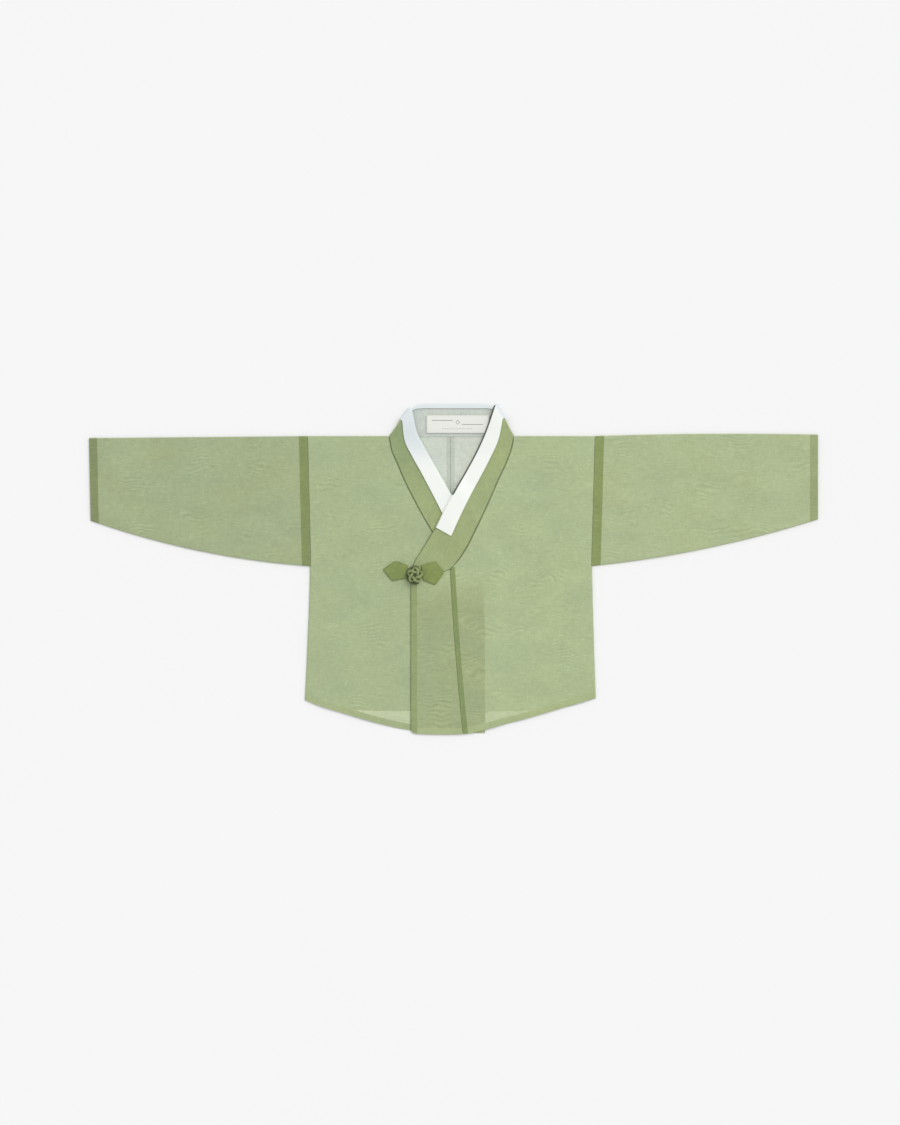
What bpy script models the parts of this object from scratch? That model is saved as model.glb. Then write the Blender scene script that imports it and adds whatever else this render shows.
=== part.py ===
"""A child's Korean hanbok jacket (jeogori), laid flat on its back with the front fastened.

Every piece of cloth is a wall of the same thickness, folded and laid on the pieces under it.
X runs across the jacket, Y from the hem to the collar, and Z up from the surface it lies on.
Left and right are those of someone who looks down at the jacket with its collar away from them.
Sizes in the tables are millimetres and are scaled to metres when the meshes are made.
"""

import math

import bmesh
import bpy
from mathutils import Vector

MM = 0.001

# Cloth and how it stacks
CLOTH = 1.0                     # wall of one piece of cloth
GAP = 0.3                       # air between neighbouring pieces
SEAM = GAP / 2                  # each side of the centre-back seam stands back by this
PLY = CLOTH + GAP               # rise from one layer to the next
FLOOR = CLOTH / 2               # middle of the lowest layer
FOLD_RADIUS = PLY / 2           # of the middle of the cloth where it folds back on itself
LEDGE = 7.0                     # how far a layer keeps its height past an edge that it covers
SLOPE = 16.0                    # run over which it comes down after that

# Body
CENTRE_X = -3.0                 # centre-back seam
SHOULDER_Y = 131.4              # axis of the shoulder fold
UNDERARM_Y = 2.0
NECK_LEFT = (-64.3, 131.4)      # where the collar's seam crosses the shoulder
NECK_RIGHT = (60.4, 131.4)
BACK_HEM_Y = -142.0
UNDERLAP_X = 31.5               # free edge of the inner front
SEOP_X = -42.7                  # free edge of the outer overlap panel
OVERLAP_HEM_Y = -165.0          # bottom of the overlap

# Each side of the body with its sleeve
SIDES = {
    "left": {
        "out": -1,              # direction away from the body
        "armhole_x": (-145.4, -142.3),      # armhole seam at the shoulder and at the underarm
        "flare": -5.3,          # how much further out the side seam is at the hem
        "hem_y": -130.5,        # lower end of the side seam
        "cuff_x": -364.2,
        "cuff_lean": 0.02,      # how much further in the cuff is, for each mm below the shoulder
        "cuff_drop": 2.0,       # how far the sleeve's top edge falls towards the cuff
        "crown": 0.0,           # how far that edge bows up at its middle
        "belly": 2.0,           # how far the lower edge hangs down at its middle
    },
    "right": {
        "out": 1,
        "armhole_x": (141.2, 137.6),
        "flare": 3.6,
        "hem_y": -128.0,
        "cuff_x": 364.2,
        "cuff_lean": 0.0,
        "cuff_drop": -1.4,
        "crown": 1.6,
        "belly": 0.0,
    },
}
UNDERSEAM_SLOPE = 0.10          # curved lower edge: slope and curve against the run from the armhole
UNDERSEAM_CURVE = 0.00047

# White collar strip
WRAP = PLY                      # radius of its turn round the collar band's edge
STRIP_INNER = 5.0               # leg on the inside of the collar
BAND_INSET = WRAP + CLOTH / 2 + 0.9      # from the strip's outer edge to the band's own edge
TURN_CLEARANCE = 1.3            # room for the collar's turn beside the shoulder folds

# Neck label, knot, loop and tabs
LABEL = (-27.0, 35.5, 135.3, 153.4)
KNOT_CENTRE = (-38.3, -6.5)
KNOT_RADIUS = 8.5
KNOT_HEIGHT = 10.0
LOOP_RADIUS = 8.3
LOOP_CORD = 1.2

TURN_STEPS = 4                  # faces round a fold

# The collar band, a row for each section: its seam, its free edge, and the width of the white
# strip that is folded over that edge. From the rounded outer end up the right front.
RIGHT_BAND = (
    # seam_x, seam_y, edge_x, edge_y, strip
    (-41.3, -8.0, -41.9, -1.5, 0.0),
    (-26.5, -6.6, -38.6, 7.6, 0.0),
    (-14.0, -4.6, -34.0, 15.0, 0.0),
    (-3.4, -0.9, -28.0, 24.6, 0.0),
    (4.6, 8.0, -21.8, 34.8, 0.0),
    (14.3, 23.2, -17.9, 41.2, 17.8),
    (23.6, 41.9, -9.2, 59.2, 17.3),
    (34.4, 64.7, 2.0, 80.2, 16.5),
    (43.7, 86.1, 14.0, 101.2, 15.9),
    (51.8, 103.5, 23.6, 119.4, 15.7),
    (57.6, 118.6, 31.4, 137.0, 16.0),
    (60.4, 131.4, 40.2, 162.7, 16.2),
)

# Across the back of the neck, from the right fold to the left one.
BACK_BAND = (
    (60.4, 131.4, 40.2, 162.7, 16.2),
    (48.0, 131.4, 33.0, 164.4, 15.4),
    (35.0, 131.4, 25.0, 164.8, 15.0),
    (18.0, 131.4, 13.0, 165.0, 15.2),
    (-2.0, 131.4, -2.0, 165.0, 15.5),
    (-22.0, 131.4, -17.0, 165.0, 15.5),
    (-39.0, 131.4, -29.0, 164.8, 15.5),
    (-52.0, 131.4, -36.0, 163.6, 15.5),
    (-64.3, 131.4, -41.4, 159.3, 15.5),
)

# Down the left front to the inner end, which the outer front hides.
LEFT_BAND = (
    (-64.3, 131.4, -41.4, 159.3, 15.5),
    (-61.6, 117.4, -36.4, 137.0, 15.5),
    (-56.7, 106.2, -28.6, 121.2, 15.5),
    (-48.7, 87.4, -19.2, 104.4, 15.5),
    (-39.3, 68.7, -8.9, 86.4, 16.2),
    (-29.9, 51.3, 0.9, 69.4, 17.2),
    (-21.2, 36.5, 9.5, 53.2, 17.6),
    (-13.5, 22.5, 17.5, 39.4, 18.0),
    (-3.6, 8.0, 22.6, 27.0, 0.0),
    (4.0, 1.0, 27.4, 20.4, 0.0),
    (14.5, -3.6, 30.2, 11.4, 0.0),
    (29.0, -6.4, 31.0, 1.6, 0.0),
)

# Front hem, from the side seam to the overlap, and back hem, from the side seam to the centre.
FRONT_HEM_LEFT = (
    (-150.0, -130.5),
    (-133.5, -137.5),
    (-113.5, -143.5),
    (-72.5, -155.5),
    (-44.5, -161.5),
    (-20.0, -163.6),
    (31.5, -164.4),
)
FRONT_HEM_RIGHT = (
    (-42.7, -161.6),
    (-40.5, -164.2),
    (-37.0, -165.0),
    (14.0, -165.0),
    (32.5, -160.8),
    (51.5, -155.5),
    (74.5, -149.5),
    (114.5, -137.5),
    (133.5, -131.5),
    (146.0, -128.0),
)
BACK_HEM = (
    (-150.0, -130.5),
    (-132.0, -137.0),
    (-108.0, -140.8),
    (-84.0, BACK_HEM_Y),
    (80.0, BACK_HEM_Y),
    (106.0, -139.6),
    (129.0, -134.6),
    (146.0, -128.0),
)

# The seam between the outer front and the overlap panel bends away from the free edge.
SEOP_SEAM_TOP = (-3.4, -0.9)
SEOP_SEAM_SLOPE = 0.055
SEOP_SEAM_CURVE = 0.00014

# Tabs: corners from the knot outwards and back.
TAB_LEFT = (
    (-46.0, -9.5),
    (-61.7, -12.5),
    (-70.7, -1.0),
    (-58.3, 7.8),
    (-46.0, 3.5),
)
TAB_RIGHT = (
    (-32.5, 3.5),
    (-17.8, 6.9),
    (-9.2, -3.8),
    (-18.3, -16.5),
    (-30.5, -11.9),
)

# How finely each piece is divided
LOWER_ROWS = (-18.0, -30.0, -52.0, -78.0, -100.0, -114.0, -122.0)
ROW_STEP = 4.0                  # between the side ends of rows that crowd together at the collar
LEFT_COLUMNS = 7
RIGHT_COLUMNS = 11
CROWDING = 1.3                  # draws the outer front's columns together towards the overlap
NECK_COLUMNS = 3
SEOP_ROWS = 14
SEOP_COLUMNS = 7
SLEEVE_SECTIONS = 10
SLEEVE_COLUMNS = 3
BAND_BETWEEN = 2                # sections of the collar for each row of its tables
STRIP_SHARES = (1.0, 0.66, 0.33)        # columns of the white strip's outer leg
SEAM_COLUMNS = 3                # columns of the collar band between the strip and the seam
PLAIN_STEP = 0.5                # where those columns start on a section without the strip
LABEL_ROWS = 3
LABEL_COLUMNS = 6
LOOP_POINTS = 15
LOOP_START = 70.0               # where the loop starts round the knot, and how far it goes
LOOP_SWEEP = 220.0
LOOP_LIFT = 0.1


# ---------------------------------------------------------------- plane geometry

def along(table, x):
    """Height of a line of points at x, straight between its points."""
    if x <= table[0][0]:
        return table[0][1]
    for (x0, y0), (x1, y1) in zip(table, table[1:]):
        if x <= x1:
            return y0 + (y1 - y0) * (x - x0) / (x1 - x0)
    return table[-1][1]


def smooth(value):
    """Soft step from 0 to 1."""
    value = min(1.0, max(0.0, value))
    return value * value * (3.0 - 2.0 * value)


def distance_outside(x, y, outline):
    """How far a point lies outside an outline, and 0 inside it."""
    inside = False
    nearest = math.inf
    for index, (bx, by) in enumerate(outline):
        ax, ay = outline[index - 1]
        if (ay > y) != (by > y) and x < ax + (y - ay) * (bx - ax) / (by - ay):
            inside = not inside
        run_x = bx - ax
        run_y = by - ay
        length = run_x * run_x + run_y * run_y
        share = 0.0
        if length > 0.0:
            share = min(1.0, max(0.0, ((x - ax) * run_x + (y - ay) * run_y) / length))
        nearest = min(nearest, math.hypot(x - ax - share * run_x, y - ay - share * run_y))
    return 0.0 if inside else nearest


def rest_height(x, y, below):
    """Middle of a layer of cloth that lies on the given outlines, each one layer high."""
    layers = 0.0
    for outline in below:
        layers += 1.0 - smooth((distance_outside(x, y, outline) - LEDGE) / SLOPE)
    return FLOOR + PLY * layers


def toward(start, end, run):
    """The point a given run from start towards end."""
    length = math.hypot(end[0] - start[0], end[1] - start[1])
    return (start[0] + (end[0] - start[0]) * run / length,
            start[1] + (end[1] - start[1]) * run / length)


def blend(start, end, share):
    """Mix of two rows of numbers."""
    return tuple(first + (last - first) * share for first, last in zip(start, end))


# ---------------------------------------------------------------- lines of the cut

def armhole_x(side, y):
    """Armhole seam, which leans a little outwards towards the shoulder."""
    top, foot = side["armhole_x"]
    return foot + (top - foot) * (y - UNDERARM_Y) / (SHOULDER_Y - UNDERARM_Y)


def cuff_edge(side, y):
    """Cuff, which may lean in below the shoulder."""
    return side["cuff_x"] - side["out"] * side["cuff_lean"] * (SHOULDER_Y - y)


def side_drop(side, y):
    """Share of the way from the underarm down the side seam."""
    return max(0.0, (UNDERARM_Y - y) / (UNDERARM_Y - side["hem_y"]))


def outer_x(side, y):
    """Armhole seam above the underarm and flared side seam below it."""
    return armhole_x(side, max(y, UNDERARM_Y)) + side["flare"] * side_drop(side, y) ** 1.3


def seop_seam_x(y):
    drop = SEOP_SEAM_TOP[1] - y
    return SEOP_SEAM_TOP[0] + SEOP_SEAM_SLOPE * drop + SEOP_SEAM_CURVE * drop * drop


def seam_points(band):
    return [row[0:2] for row in band]


def edge_points(band):
    return [row[2:4] for row in band]


def strip_outline(band, width):
    """Outline of a strip along a band's free edge, of a set width or of the table's own."""
    striped = [row for row in band if row[4] > 0.0]
    far = [toward(row[2:4], row[0:2], width or row[4]) for row in striped]
    return edge_points(striped) + far[::-1]


def armhole_ends(side):
    return [(armhole_x(side, SHOULDER_Y), SHOULDER_Y), (armhole_x(side, UNDERARM_Y), UNDERARM_Y)]


LEFT = SIDES["left"]
RIGHT = SIDES["right"]


def back_outline():
    """The body's back with the collar above it."""
    sides = armhole_ends(LEFT) + list(BACK_HEM) + armhole_ends(RIGHT)[::-1]
    return sides + [NECK_RIGHT] + edge_points(BACK_BAND) + [NECK_LEFT]


def inner_side_outline():
    """The inner front with its part of the collar band."""
    hem = [(UNDERLAP_X, FRONT_HEM_LEFT[-1][1])] + list(FRONT_HEM_LEFT)[::-1][1:]
    return edge_points(LEFT_BAND) + hem + armhole_ends(LEFT)[::-1] + [NECK_LEFT]


def outer_side_outline():
    """The outer front, its overlap panel and its part of the collar band."""
    edge = edge_points(RIGHT_BAND)[::-1]
    return edge + list(FRONT_HEM_RIGHT) + armhole_ends(RIGHT)[::-1] + [NECK_RIGHT]


def label_outline():
    left, right, low, high = LABEL
    return [(left, low), (right, low), (right, high), (left, high)]


# What each group of pieces lies on, one outline for each layer of cloth
BELOW_COLLAR_BACK = [strip_outline(BACK_BAND, None)]
BELOW_INNER = [
    back_outline(),
    strip_outline(BACK_BAND, None),
    strip_outline(BACK_BAND, STRIP_INNER),
    label_outline(),
]
BELOW_LEFT_BAND = BELOW_INNER + [strip_outline(LEFT_BAND, STRIP_INNER)]
BELOW_OUTER = BELOW_LEFT_BAND + [inner_side_outline(), strip_outline(LEFT_BAND, None)]
BELOW_RIGHT_BAND = BELOW_OUTER + [strip_outline(RIGHT_BAND, STRIP_INNER)]
BELOW_KNOT = BELOW_OUTER + [outer_side_outline()]


# ---------------------------------------------------------------- meshes

class Cloth:
    """A sheet of cloth: rows of points joined into faces, given its thickness at the end."""

    def __init__(self, name):
        self.name = name
        self.bm = bmesh.new()

    def points(self, places):
        return [self.bm.verts.new(Vector(place) * MM) for place in places]

    def join(self, row, next_row):
        """A strip of faces between two rows of the same length."""
        for index in range(len(row) - 1):
            corners = (row[index], row[index + 1], next_row[index + 1], next_row[index])
            self.bm.faces.new(corners)

    def grid(self, rows):
        """Faces between neighbouring rows of places; gives the rows of points."""
        made = [self.points(row) for row in rows]
        for row, next_row in zip(made, made[1:]):
            self.join(row, next_row)
        return made

    def turn(self, upper, lower, outward):
        """A rounded fold that joins the upper row of points to the lower row."""
        rows = [upper]
        for step in range(1, TURN_STEPS):
            angle = math.pi * step / TURN_STEPS
            row = []
            for high, low in zip(upper, lower):
                middle = (high.co + low.co) / 2
                radius = (high.co - low.co) / 2
                place = middle + radius * math.cos(angle)
                row.append(self.bm.verts.new(place + outward * radius.length * math.sin(angle)))
            rows.append(row)
        rows.append(lower)
        for row, next_row in zip(rows, rows[1:]):
            self.join(row, next_row)

    def finish(self, material):
        """The sheet as an object, with the wall of the cloth half to each side of it."""
        mesh = bpy.data.meshes.new(self.name)
        bmesh.ops.triangulate(self.bm, faces=self.bm.faces, quad_method="SHORT_EDGE")
        bmesh.ops.recalc_face_normals(self.bm, faces=self.bm.faces)
        self.bm.to_mesh(mesh)
        self.bm.free()
        mesh.materials.append(material)
        item = bpy.data.objects.new(self.name, mesh)
        wall = item.modifiers.new("wall", "SOLIDIFY")
        wall.thickness = CLOTH * MM
        wall.offset = 0.0
        wall.use_even_offset = True
        return item


def plain_material(name, colour, roughness):
    material = bpy.data.materials.new(name)
    material.use_nodes = True
    shader = material.node_tree.nodes["Principled BSDF"]
    shader.inputs["Base Color"].default_value = (*colour, 1.0)
    shader.inputs["Roughness"].default_value = roughness
    shader.inputs["Metallic"].default_value = 0.0
    return material


def laid(rows, below):
    """Rows of places in the plane, each raised on to what lies under it."""
    return [[(x, y, rest_height(x, y, below)) for x, y in row] for row in rows]


# ---------------------------------------------------------------- body

def side_levels(inner):
    """Height at the side seam of each row that starts at the collar's seam."""
    levels = []
    for _, y in inner:
        if y > UNDERARM_Y:
            levels.append(y)
        elif levels[-1] > UNDERARM_Y:
            levels.append(UNDERARM_Y)
        else:
            levels.append(levels[-1] - ROW_STEP)
    return levels


def hem_row(side, hem, level, inner_x, shares):
    """A row below the collar, which bends more and more like the hem as it nears it."""
    drop = smooth(side_drop(side, level))
    outer = outer_x(side, level)
    row = []
    for share in shares:
        x = inner_x + (outer - inner_x) * share
        row.append((x, level + (along(hem, x) - side["hem_y"]) * drop))
    return row


def front_rows(side, band, hem, low_edge, shares):
    """Rows of places from the front's inner edge to its side, from the shoulder to the hem."""
    inner = seam_points(band)
    levels = side_levels(inner)
    rows = []
    for (x, y), level in zip(inner, levels):
        outer = (outer_x(side, level), level)
        rows.append([blend((x, y), outer, share) for share in shares])
    shoulder_x = rows[0][0][0] + side["out"] * TURN_CLEARANCE
    shoulder_end = rows[0][-1]
    rows[0] = [blend((shoulder_x, SHOULDER_Y), shoulder_end, share) for share in shares]
    for level in LOWER_ROWS + (side["hem_y"],):
        rows.append(hem_row(side, hem, level, low_edge(level), shares))
        levels.append(level)
    return rows, levels


def back_rows(side, levels, shoulder):
    """Rows of the back, whose top meets the places of the front's shoulder row."""
    centre = CENTRE_X + side["out"] * SEAM
    width = shoulder[-1][0] - centre
    shares = [(shoulder[0][0] - centre) / width * step / NECK_COLUMNS for step in range(NECK_COLUMNS)]
    shares += [(place[0] - centre) / width for place in shoulder]
    return [hem_row(side, BACK_HEM, level, centre, shares) for level in levels]


def body_half(name, side, band, hem, low_edge, shares, below, material):
    """Back and front in one, folded at the shoulder and sewn together down the side."""
    cloth = Cloth(name)
    rows, levels = front_rows(side, band, hem, low_edge, shares)
    front = cloth.grid(laid(rows, below))
    back = cloth.grid(laid(back_rows(side, levels, rows[0]), []))
    sewn = levels.index(UNDERARM_Y)
    outward = Vector((side["out"], 0, 0))
    cloth.turn([row[-1] for row in front[sewn:]], [row[-1] for row in back[sewn:]], outward)
    cloth.turn(front[0], back[0][-len(shares):], Vector((0, 1, 0)))
    return cloth.finish(material)


def gil_left(material):
    """The half with the inner front, whose underlap reaches past the middle."""
    shares = [column / LEFT_COLUMNS for column in range(LEFT_COLUMNS + 1)]
    return body_half("gil_left", LEFT, LEFT_BAND, FRONT_HEM_LEFT, lambda level: UNDERLAP_X,
                     shares, BELOW_INNER, material)


def gil_right(material):
    """The half with the outer front, which ends at the overlap panel's seam."""
    shares = [(column / RIGHT_COLUMNS) ** CROWDING for column in range(RIGHT_COLUMNS + 1)]

    def low_edge(level):
        drop = smooth(side_drop(RIGHT, level))
        return seop_seam_x(level + (OVERLAP_HEM_Y - RIGHT["hem_y"]) * drop)

    band = [row for row in RIGHT_BAND if row[1] >= SEOP_SEAM_TOP[1]][::-1]
    return body_half("gil_right", RIGHT, band, FRONT_HEM_RIGHT, low_edge, shares, BELOW_OUTER,
                     material)


def seop(material):
    """Outer overlap panel: a tapered strip from the collar's end to the hem."""
    cloth = Cloth("seop")
    seam = [point for point in seam_points(RIGHT_BAND) if point[1] <= SEOP_SEAM_TOP[1]]
    rows = []
    for step in range(SEOP_ROWS + 1):
        share = step / SEOP_ROWS
        sewn_y = SEOP_SEAM_TOP[1] + (OVERLAP_HEM_Y - SEOP_SEAM_TOP[1]) * share
        right = seop_seam_x(sewn_y) - GAP
        row = []
        for column in range(SEOP_COLUMNS + 1):
            x = SEOP_X + (right - SEOP_X) * column / SEOP_COLUMNS
            row.append((x, along(seam, x) + (along(FRONT_HEM_RIGHT, x) - along(seam, x)) * share))
        rows.append(row)
    cloth.grid(laid(rows, BELOW_OUTER))
    return cloth.finish(material)


# ---------------------------------------------------------------- sleeves

def half_turn(y, sign):
    """Points round the fold at the top of a sleeve (sign 1) or at its lower seam (-1)."""
    places = []
    for step in range(1, TURN_STEPS):
        angle = math.pi * step / TURN_STEPS
        rise = sign * FOLD_RADIUS * math.cos(angle)
        places.append((y + sign * FOLD_RADIUS * math.sin(angle), FLOOR + FOLD_RADIUS + rise))
    return places


def sleeve(side_name, material):
    """A sleeve laid flat: a tube folded along its top, seamed along its curved lower edge."""
    side = SIDES[side_name]
    cloth = Cloth("sleeve_" + side_name)
    rings = []
    for step in range(SLEEVE_SECTIONS + 1):
        share = step / SLEEVE_SECTIONS
        run = share * abs(side["cuff_x"] - armhole_x(side, UNDERARM_Y))
        low = UNDERARM_Y + GAP + UNDERSEAM_SLOPE * run + UNDERSEAM_CURVE * run * run
        bow = 4.0 * share * (1.0 - share)
        low += FOLD_RADIUS + CLOTH / 2 - side["belly"] * bow
        top = SHOULDER_Y - side["cuff_drop"] * share + side["crown"] * bow
        rise = [low + (top - low) * part / SLEEVE_COLUMNS for part in range(SLEEVE_COLUMNS + 1)]
        front = [(y, FLOOR + PLY) for y in rise]
        back = [(y, FLOOR) for y in rise[::-1]]
        ring = front + half_turn(top, 1) + back + half_turn(low, -1)
        places = []
        for y, z in ring:
            start = armhole_x(side, y) + side["out"] * GAP
            places.append((start + (cuff_edge(side, y) - start) * share, y, z))
        rings.append(places)
    made = [cloth.points(ring) for ring in rings]
    for ring, next_ring in zip(made, made[1:]):
        cloth.join(ring + ring[:1], next_ring + next_ring[:1])
    return cloth.finish(material)


# ---------------------------------------------------------------- collar

def in_between(band):
    """The rows of a band with others halfway; one past the white strip's end has no strip."""
    rows = [band[0]]
    for row, next_row in zip(band, band[1:]):
        for step in range(1, BAND_BETWEEN + 1):
            mixed = blend(row, next_row, step / BAND_BETWEEN)
            bare = step < BAND_BETWEEN and min(row[4], next_row[4]) == 0.0
            rows.append(mixed[:4] + ((0.0,) if bare else mixed[4:]))
    return rows


def band_row(row, below, _):
    """Places across the collar band, from its free edge to its seam."""
    seam = row[0:2]
    edge = row[2:4]
    width = math.hypot(edge[0] - seam[0], edge[1] - seam[1])
    strip = row[4] or PLAIN_STEP * width
    inset = BAND_INSET if row[4] > 0.0 else 0.0
    runs = [inset] + [strip * share for share in STRIP_SHARES[::-1]]
    rest = width - GAP - strip
    runs += [strip + rest * part / SEAM_COLUMNS for part in range(1, SEAM_COLUMNS + 1)]
    return laid([[toward(edge, seam, run) for run in runs]], below)[0]


def strip_row(row, below, sign):
    """Across the white strip: its outer leg, its turn round the band's edge, its inner leg."""
    seam = row[0:2]
    edge = row[2:4]
    axis = WRAP + CLOTH / 2
    places = []
    for run in [row[4] * share for share in STRIP_SHARES] + [axis]:
        x, y = toward(edge, seam, run)
        places.append((x, y, rest_height(x, y, below) + sign * WRAP))
    turn_x, turn_y = toward(edge, seam, axis)
    turn_z = rest_height(turn_x, turn_y, below)
    for step in range(1, TURN_STEPS):
        angle = math.pi * step / TURN_STEPS
        x, y = toward(edge, seam, axis - WRAP * math.sin(angle))
        places.append((x, y, turn_z + sign * WRAP * math.cos(angle)))
    for run in (axis, STRIP_INNER):
        x, y = toward(edge, seam, run)
        places.append((x, y, rest_height(x, y, below) - sign * WRAP))
    return places


def fold_outward(row, sign):
    """Direction in which the collar turns over at the side of the neck."""
    run = Vector((row[2] - row[0], row[3] - row[1], 0)).normalized()
    return Vector((run.y, -run.x, 0)) * sign


def collar_sheet(name, across_row, material, striped_only):
    """Joins the right front, the back of the neck and the left front with two turned folds."""
    cloth = Cloth(name)
    bands = []
    for band, below, sign in (
        (RIGHT_BAND, BELOW_RIGHT_BAND, 1),
        (BACK_BAND, BELOW_COLLAR_BACK, -1),
        (LEFT_BAND, BELOW_LEFT_BAND, 1),
    ):
        rows = [row for row in in_between(band) if row[4] > 0.0 or not striped_only]
        bands.append(cloth.grid([across_row(row, below, sign) for row in rows]))
    right, back, left = bands
    cloth.turn(right[-1], back[0], fold_outward(BACK_BAND[0], 1))
    cloth.turn(left[0], back[-1], fold_outward(BACK_BAND[-1], -1))
    return cloth.finish(material)


def neck_label(material):
    """A plain woven label on the inside of the collar."""
    cloth = Cloth("neck_label")
    left, right, low, high = LABEL
    rows = []
    for step in range(LABEL_ROWS + 1):
        y = low + (high - low) * step / LABEL_ROWS
        row = []
        for column in range(LABEL_COLUMNS + 1):
            x = left + (right - left) * column / LABEL_COLUMNS
            row.append((x, y, rest_height(x, y, BELOW_COLLAR_BACK) + PLY))
        rows.append(row)
    cloth.grid(rows)
    return cloth.finish(material)


# ---------------------------------------------------------------- knot, loop and tabs

def tab(name, outline, below, material):
    """A small folded patch of cloth, flat on the front."""
    cloth = Cloth(name)
    height = max(rest_height(x, y, below) for x, y in outline)
    cloth.bm.faces.new(cloth.points([(x, y, height) for x, y in outline]))
    return cloth.finish(material)


def knot_foot():
    """Height of the cloth's upper side under the knot, with a gap over it."""
    return rest_height(*KNOT_CENTRE, BELOW_KNOT) - CLOTH / 2


def knot_button(material):
    """The knotted button as the flattened ball that the knot fills."""
    bm = bmesh.new()
    bmesh.ops.create_uvsphere(bm, u_segments=14, v_segments=8, radius=KNOT_RADIUS * MM)
    squash = Vector((1.0, 1.0, KNOT_HEIGHT / 2 / KNOT_RADIUS))
    bmesh.ops.scale(bm, vec=squash, verts=bm.verts)
    centre = Vector((*KNOT_CENTRE, knot_foot() + KNOT_HEIGHT / 2)) * MM
    bmesh.ops.translate(bm, vec=centre, verts=bm.verts)
    mesh = bpy.data.meshes.new("knot_button")
    bm.to_mesh(mesh)
    bm.free()
    mesh.materials.append(material)
    return bpy.data.objects.new("knot_button", mesh)


def button_loop(material):
    """The loop round the knot's foot, open towards the knot's own tab."""
    height = knot_foot() + LOOP_CORD + LOOP_LIFT
    data = bpy.data.curves.new("button_loop", "CURVE")
    data.dimensions = "3D"
    data.bevel_depth = LOOP_CORD * MM
    data.bevel_resolution = 2
    data.use_fill_caps = True
    data.materials.append(material)
    line = data.splines.new("POLY")
    line.points.add(LOOP_POINTS - 1)
    for index, point in enumerate(line.points):
        angle = math.radians(LOOP_START + LOOP_SWEEP * index / (LOOP_POINTS - 1))
        x = KNOT_CENTRE[0] + LOOP_RADIUS * math.cos(angle)
        y = KNOT_CENTRE[1] + LOOP_RADIUS * math.sin(angle)
        point.co = (x * MM, y * MM, height * MM, 1.0)
    return bpy.data.objects.new("button_loop", data)


# ---------------------------------------------------------------- whole jacket

def build():
    for item in list(bpy.data.objects):
        bpy.data.objects.remove(item, do_unlink=True)
    jacket = bpy.data.collections.new("korean_hanbok")
    bpy.context.scene.collection.children.link(jacket)
    green = plain_material("green_gauze", (0.40, 0.48, 0.27), 0.75)
    dense = plain_material("collar_gauze", (0.33, 0.40, 0.19), 0.75)
    dark = plain_material("knot_cloth", (0.22, 0.28, 0.10), 0.7)
    white = plain_material("white_strip", (0.9, 0.92, 0.91), 0.6)
    woven = plain_material("label_weave", (0.75, 0.75, 0.71), 0.7)
    pieces = [
        gil_left(green),
        gil_right(green),
        seop(green),
        sleeve("left", green),
        sleeve("right", green),
        collar_sheet("git", band_row, dense, False),
        collar_sheet("dongjeong", strip_row, white, True),
        neck_label(woven),
        tab("tab_left", TAB_LEFT, BELOW_OUTER, dark),
        tab("tab_right", TAB_RIGHT, BELOW_KNOT, dark),
        knot_button(dark),
        button_loop(dark),
    ]
    for piece in pieces:
        jacket.objects.link(piece)


build()
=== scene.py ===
# %% [markdown]
# # A child's hanbok jacket (jeogori), laid flat
#
# The jacket lies on its back on a pale table, fastened, with its collar away from us.
# Its solid pieces come from the frame, and this lesson gives each of them its real surface:
# thin sheer cloth that shows how many layers lie under it, a crisp white collar strip,
# a small woven label, and a button knotted from a cord of the same cloth.

# %% Load the frame
import math

import bmesh
import bpy
import numpy as np
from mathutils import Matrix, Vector


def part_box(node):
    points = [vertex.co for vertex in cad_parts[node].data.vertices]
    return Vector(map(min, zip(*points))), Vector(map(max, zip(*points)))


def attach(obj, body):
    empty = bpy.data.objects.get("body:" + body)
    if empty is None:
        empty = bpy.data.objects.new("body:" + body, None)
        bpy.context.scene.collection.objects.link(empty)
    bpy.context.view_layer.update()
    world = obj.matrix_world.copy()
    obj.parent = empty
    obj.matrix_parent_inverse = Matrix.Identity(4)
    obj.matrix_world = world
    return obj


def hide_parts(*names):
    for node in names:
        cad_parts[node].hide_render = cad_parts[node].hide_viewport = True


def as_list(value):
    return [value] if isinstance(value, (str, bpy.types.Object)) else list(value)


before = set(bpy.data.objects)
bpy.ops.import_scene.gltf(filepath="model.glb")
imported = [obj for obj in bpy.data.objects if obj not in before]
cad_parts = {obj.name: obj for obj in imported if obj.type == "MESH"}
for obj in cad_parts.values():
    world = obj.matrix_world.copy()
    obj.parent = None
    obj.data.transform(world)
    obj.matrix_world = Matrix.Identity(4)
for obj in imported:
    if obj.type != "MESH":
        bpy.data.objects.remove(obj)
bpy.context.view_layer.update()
print("pieces in the frame:", len(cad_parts))

# %% [markdown]
# ## The cut
#
# A maker draws a jacket as a few lines on cloth: the collar's seam, its free edge, the hems,
# the armholes. All the pieces below share these lines, so they are kept once, in millimetres,
# as short tables with a row for each section. Curves are drawn through the rows later on,
# which keeps the tables short and the edges smooth.

# %% Sizes of the cut, in millimetres
MM = 0.001
SOLID_WALL = 1.0                # wall of the frame's solids
PLY = 1.3                       # rise from one layer to the next
FLOOR = SOLID_WALL / 2          # middle of the lowest layer
FOLD_RADIUS = PLY / 2
LEDGE = 7.0                     # a layer keeps its height this far past an edge it covers
SLOPE = 16.0                    # and comes down over this run
CLOTH = 0.55                    # the cloth as it shows

CENTRE_X = -3.0
SHOULDER_Y = 131.4
UNDERARM_Y = 2.0
UNDERLAP_X = 31.5
SEOP_X = -42.7
OVERLAP_HEM_Y = -165.0
SEAM_GAP = 0.3

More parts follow.
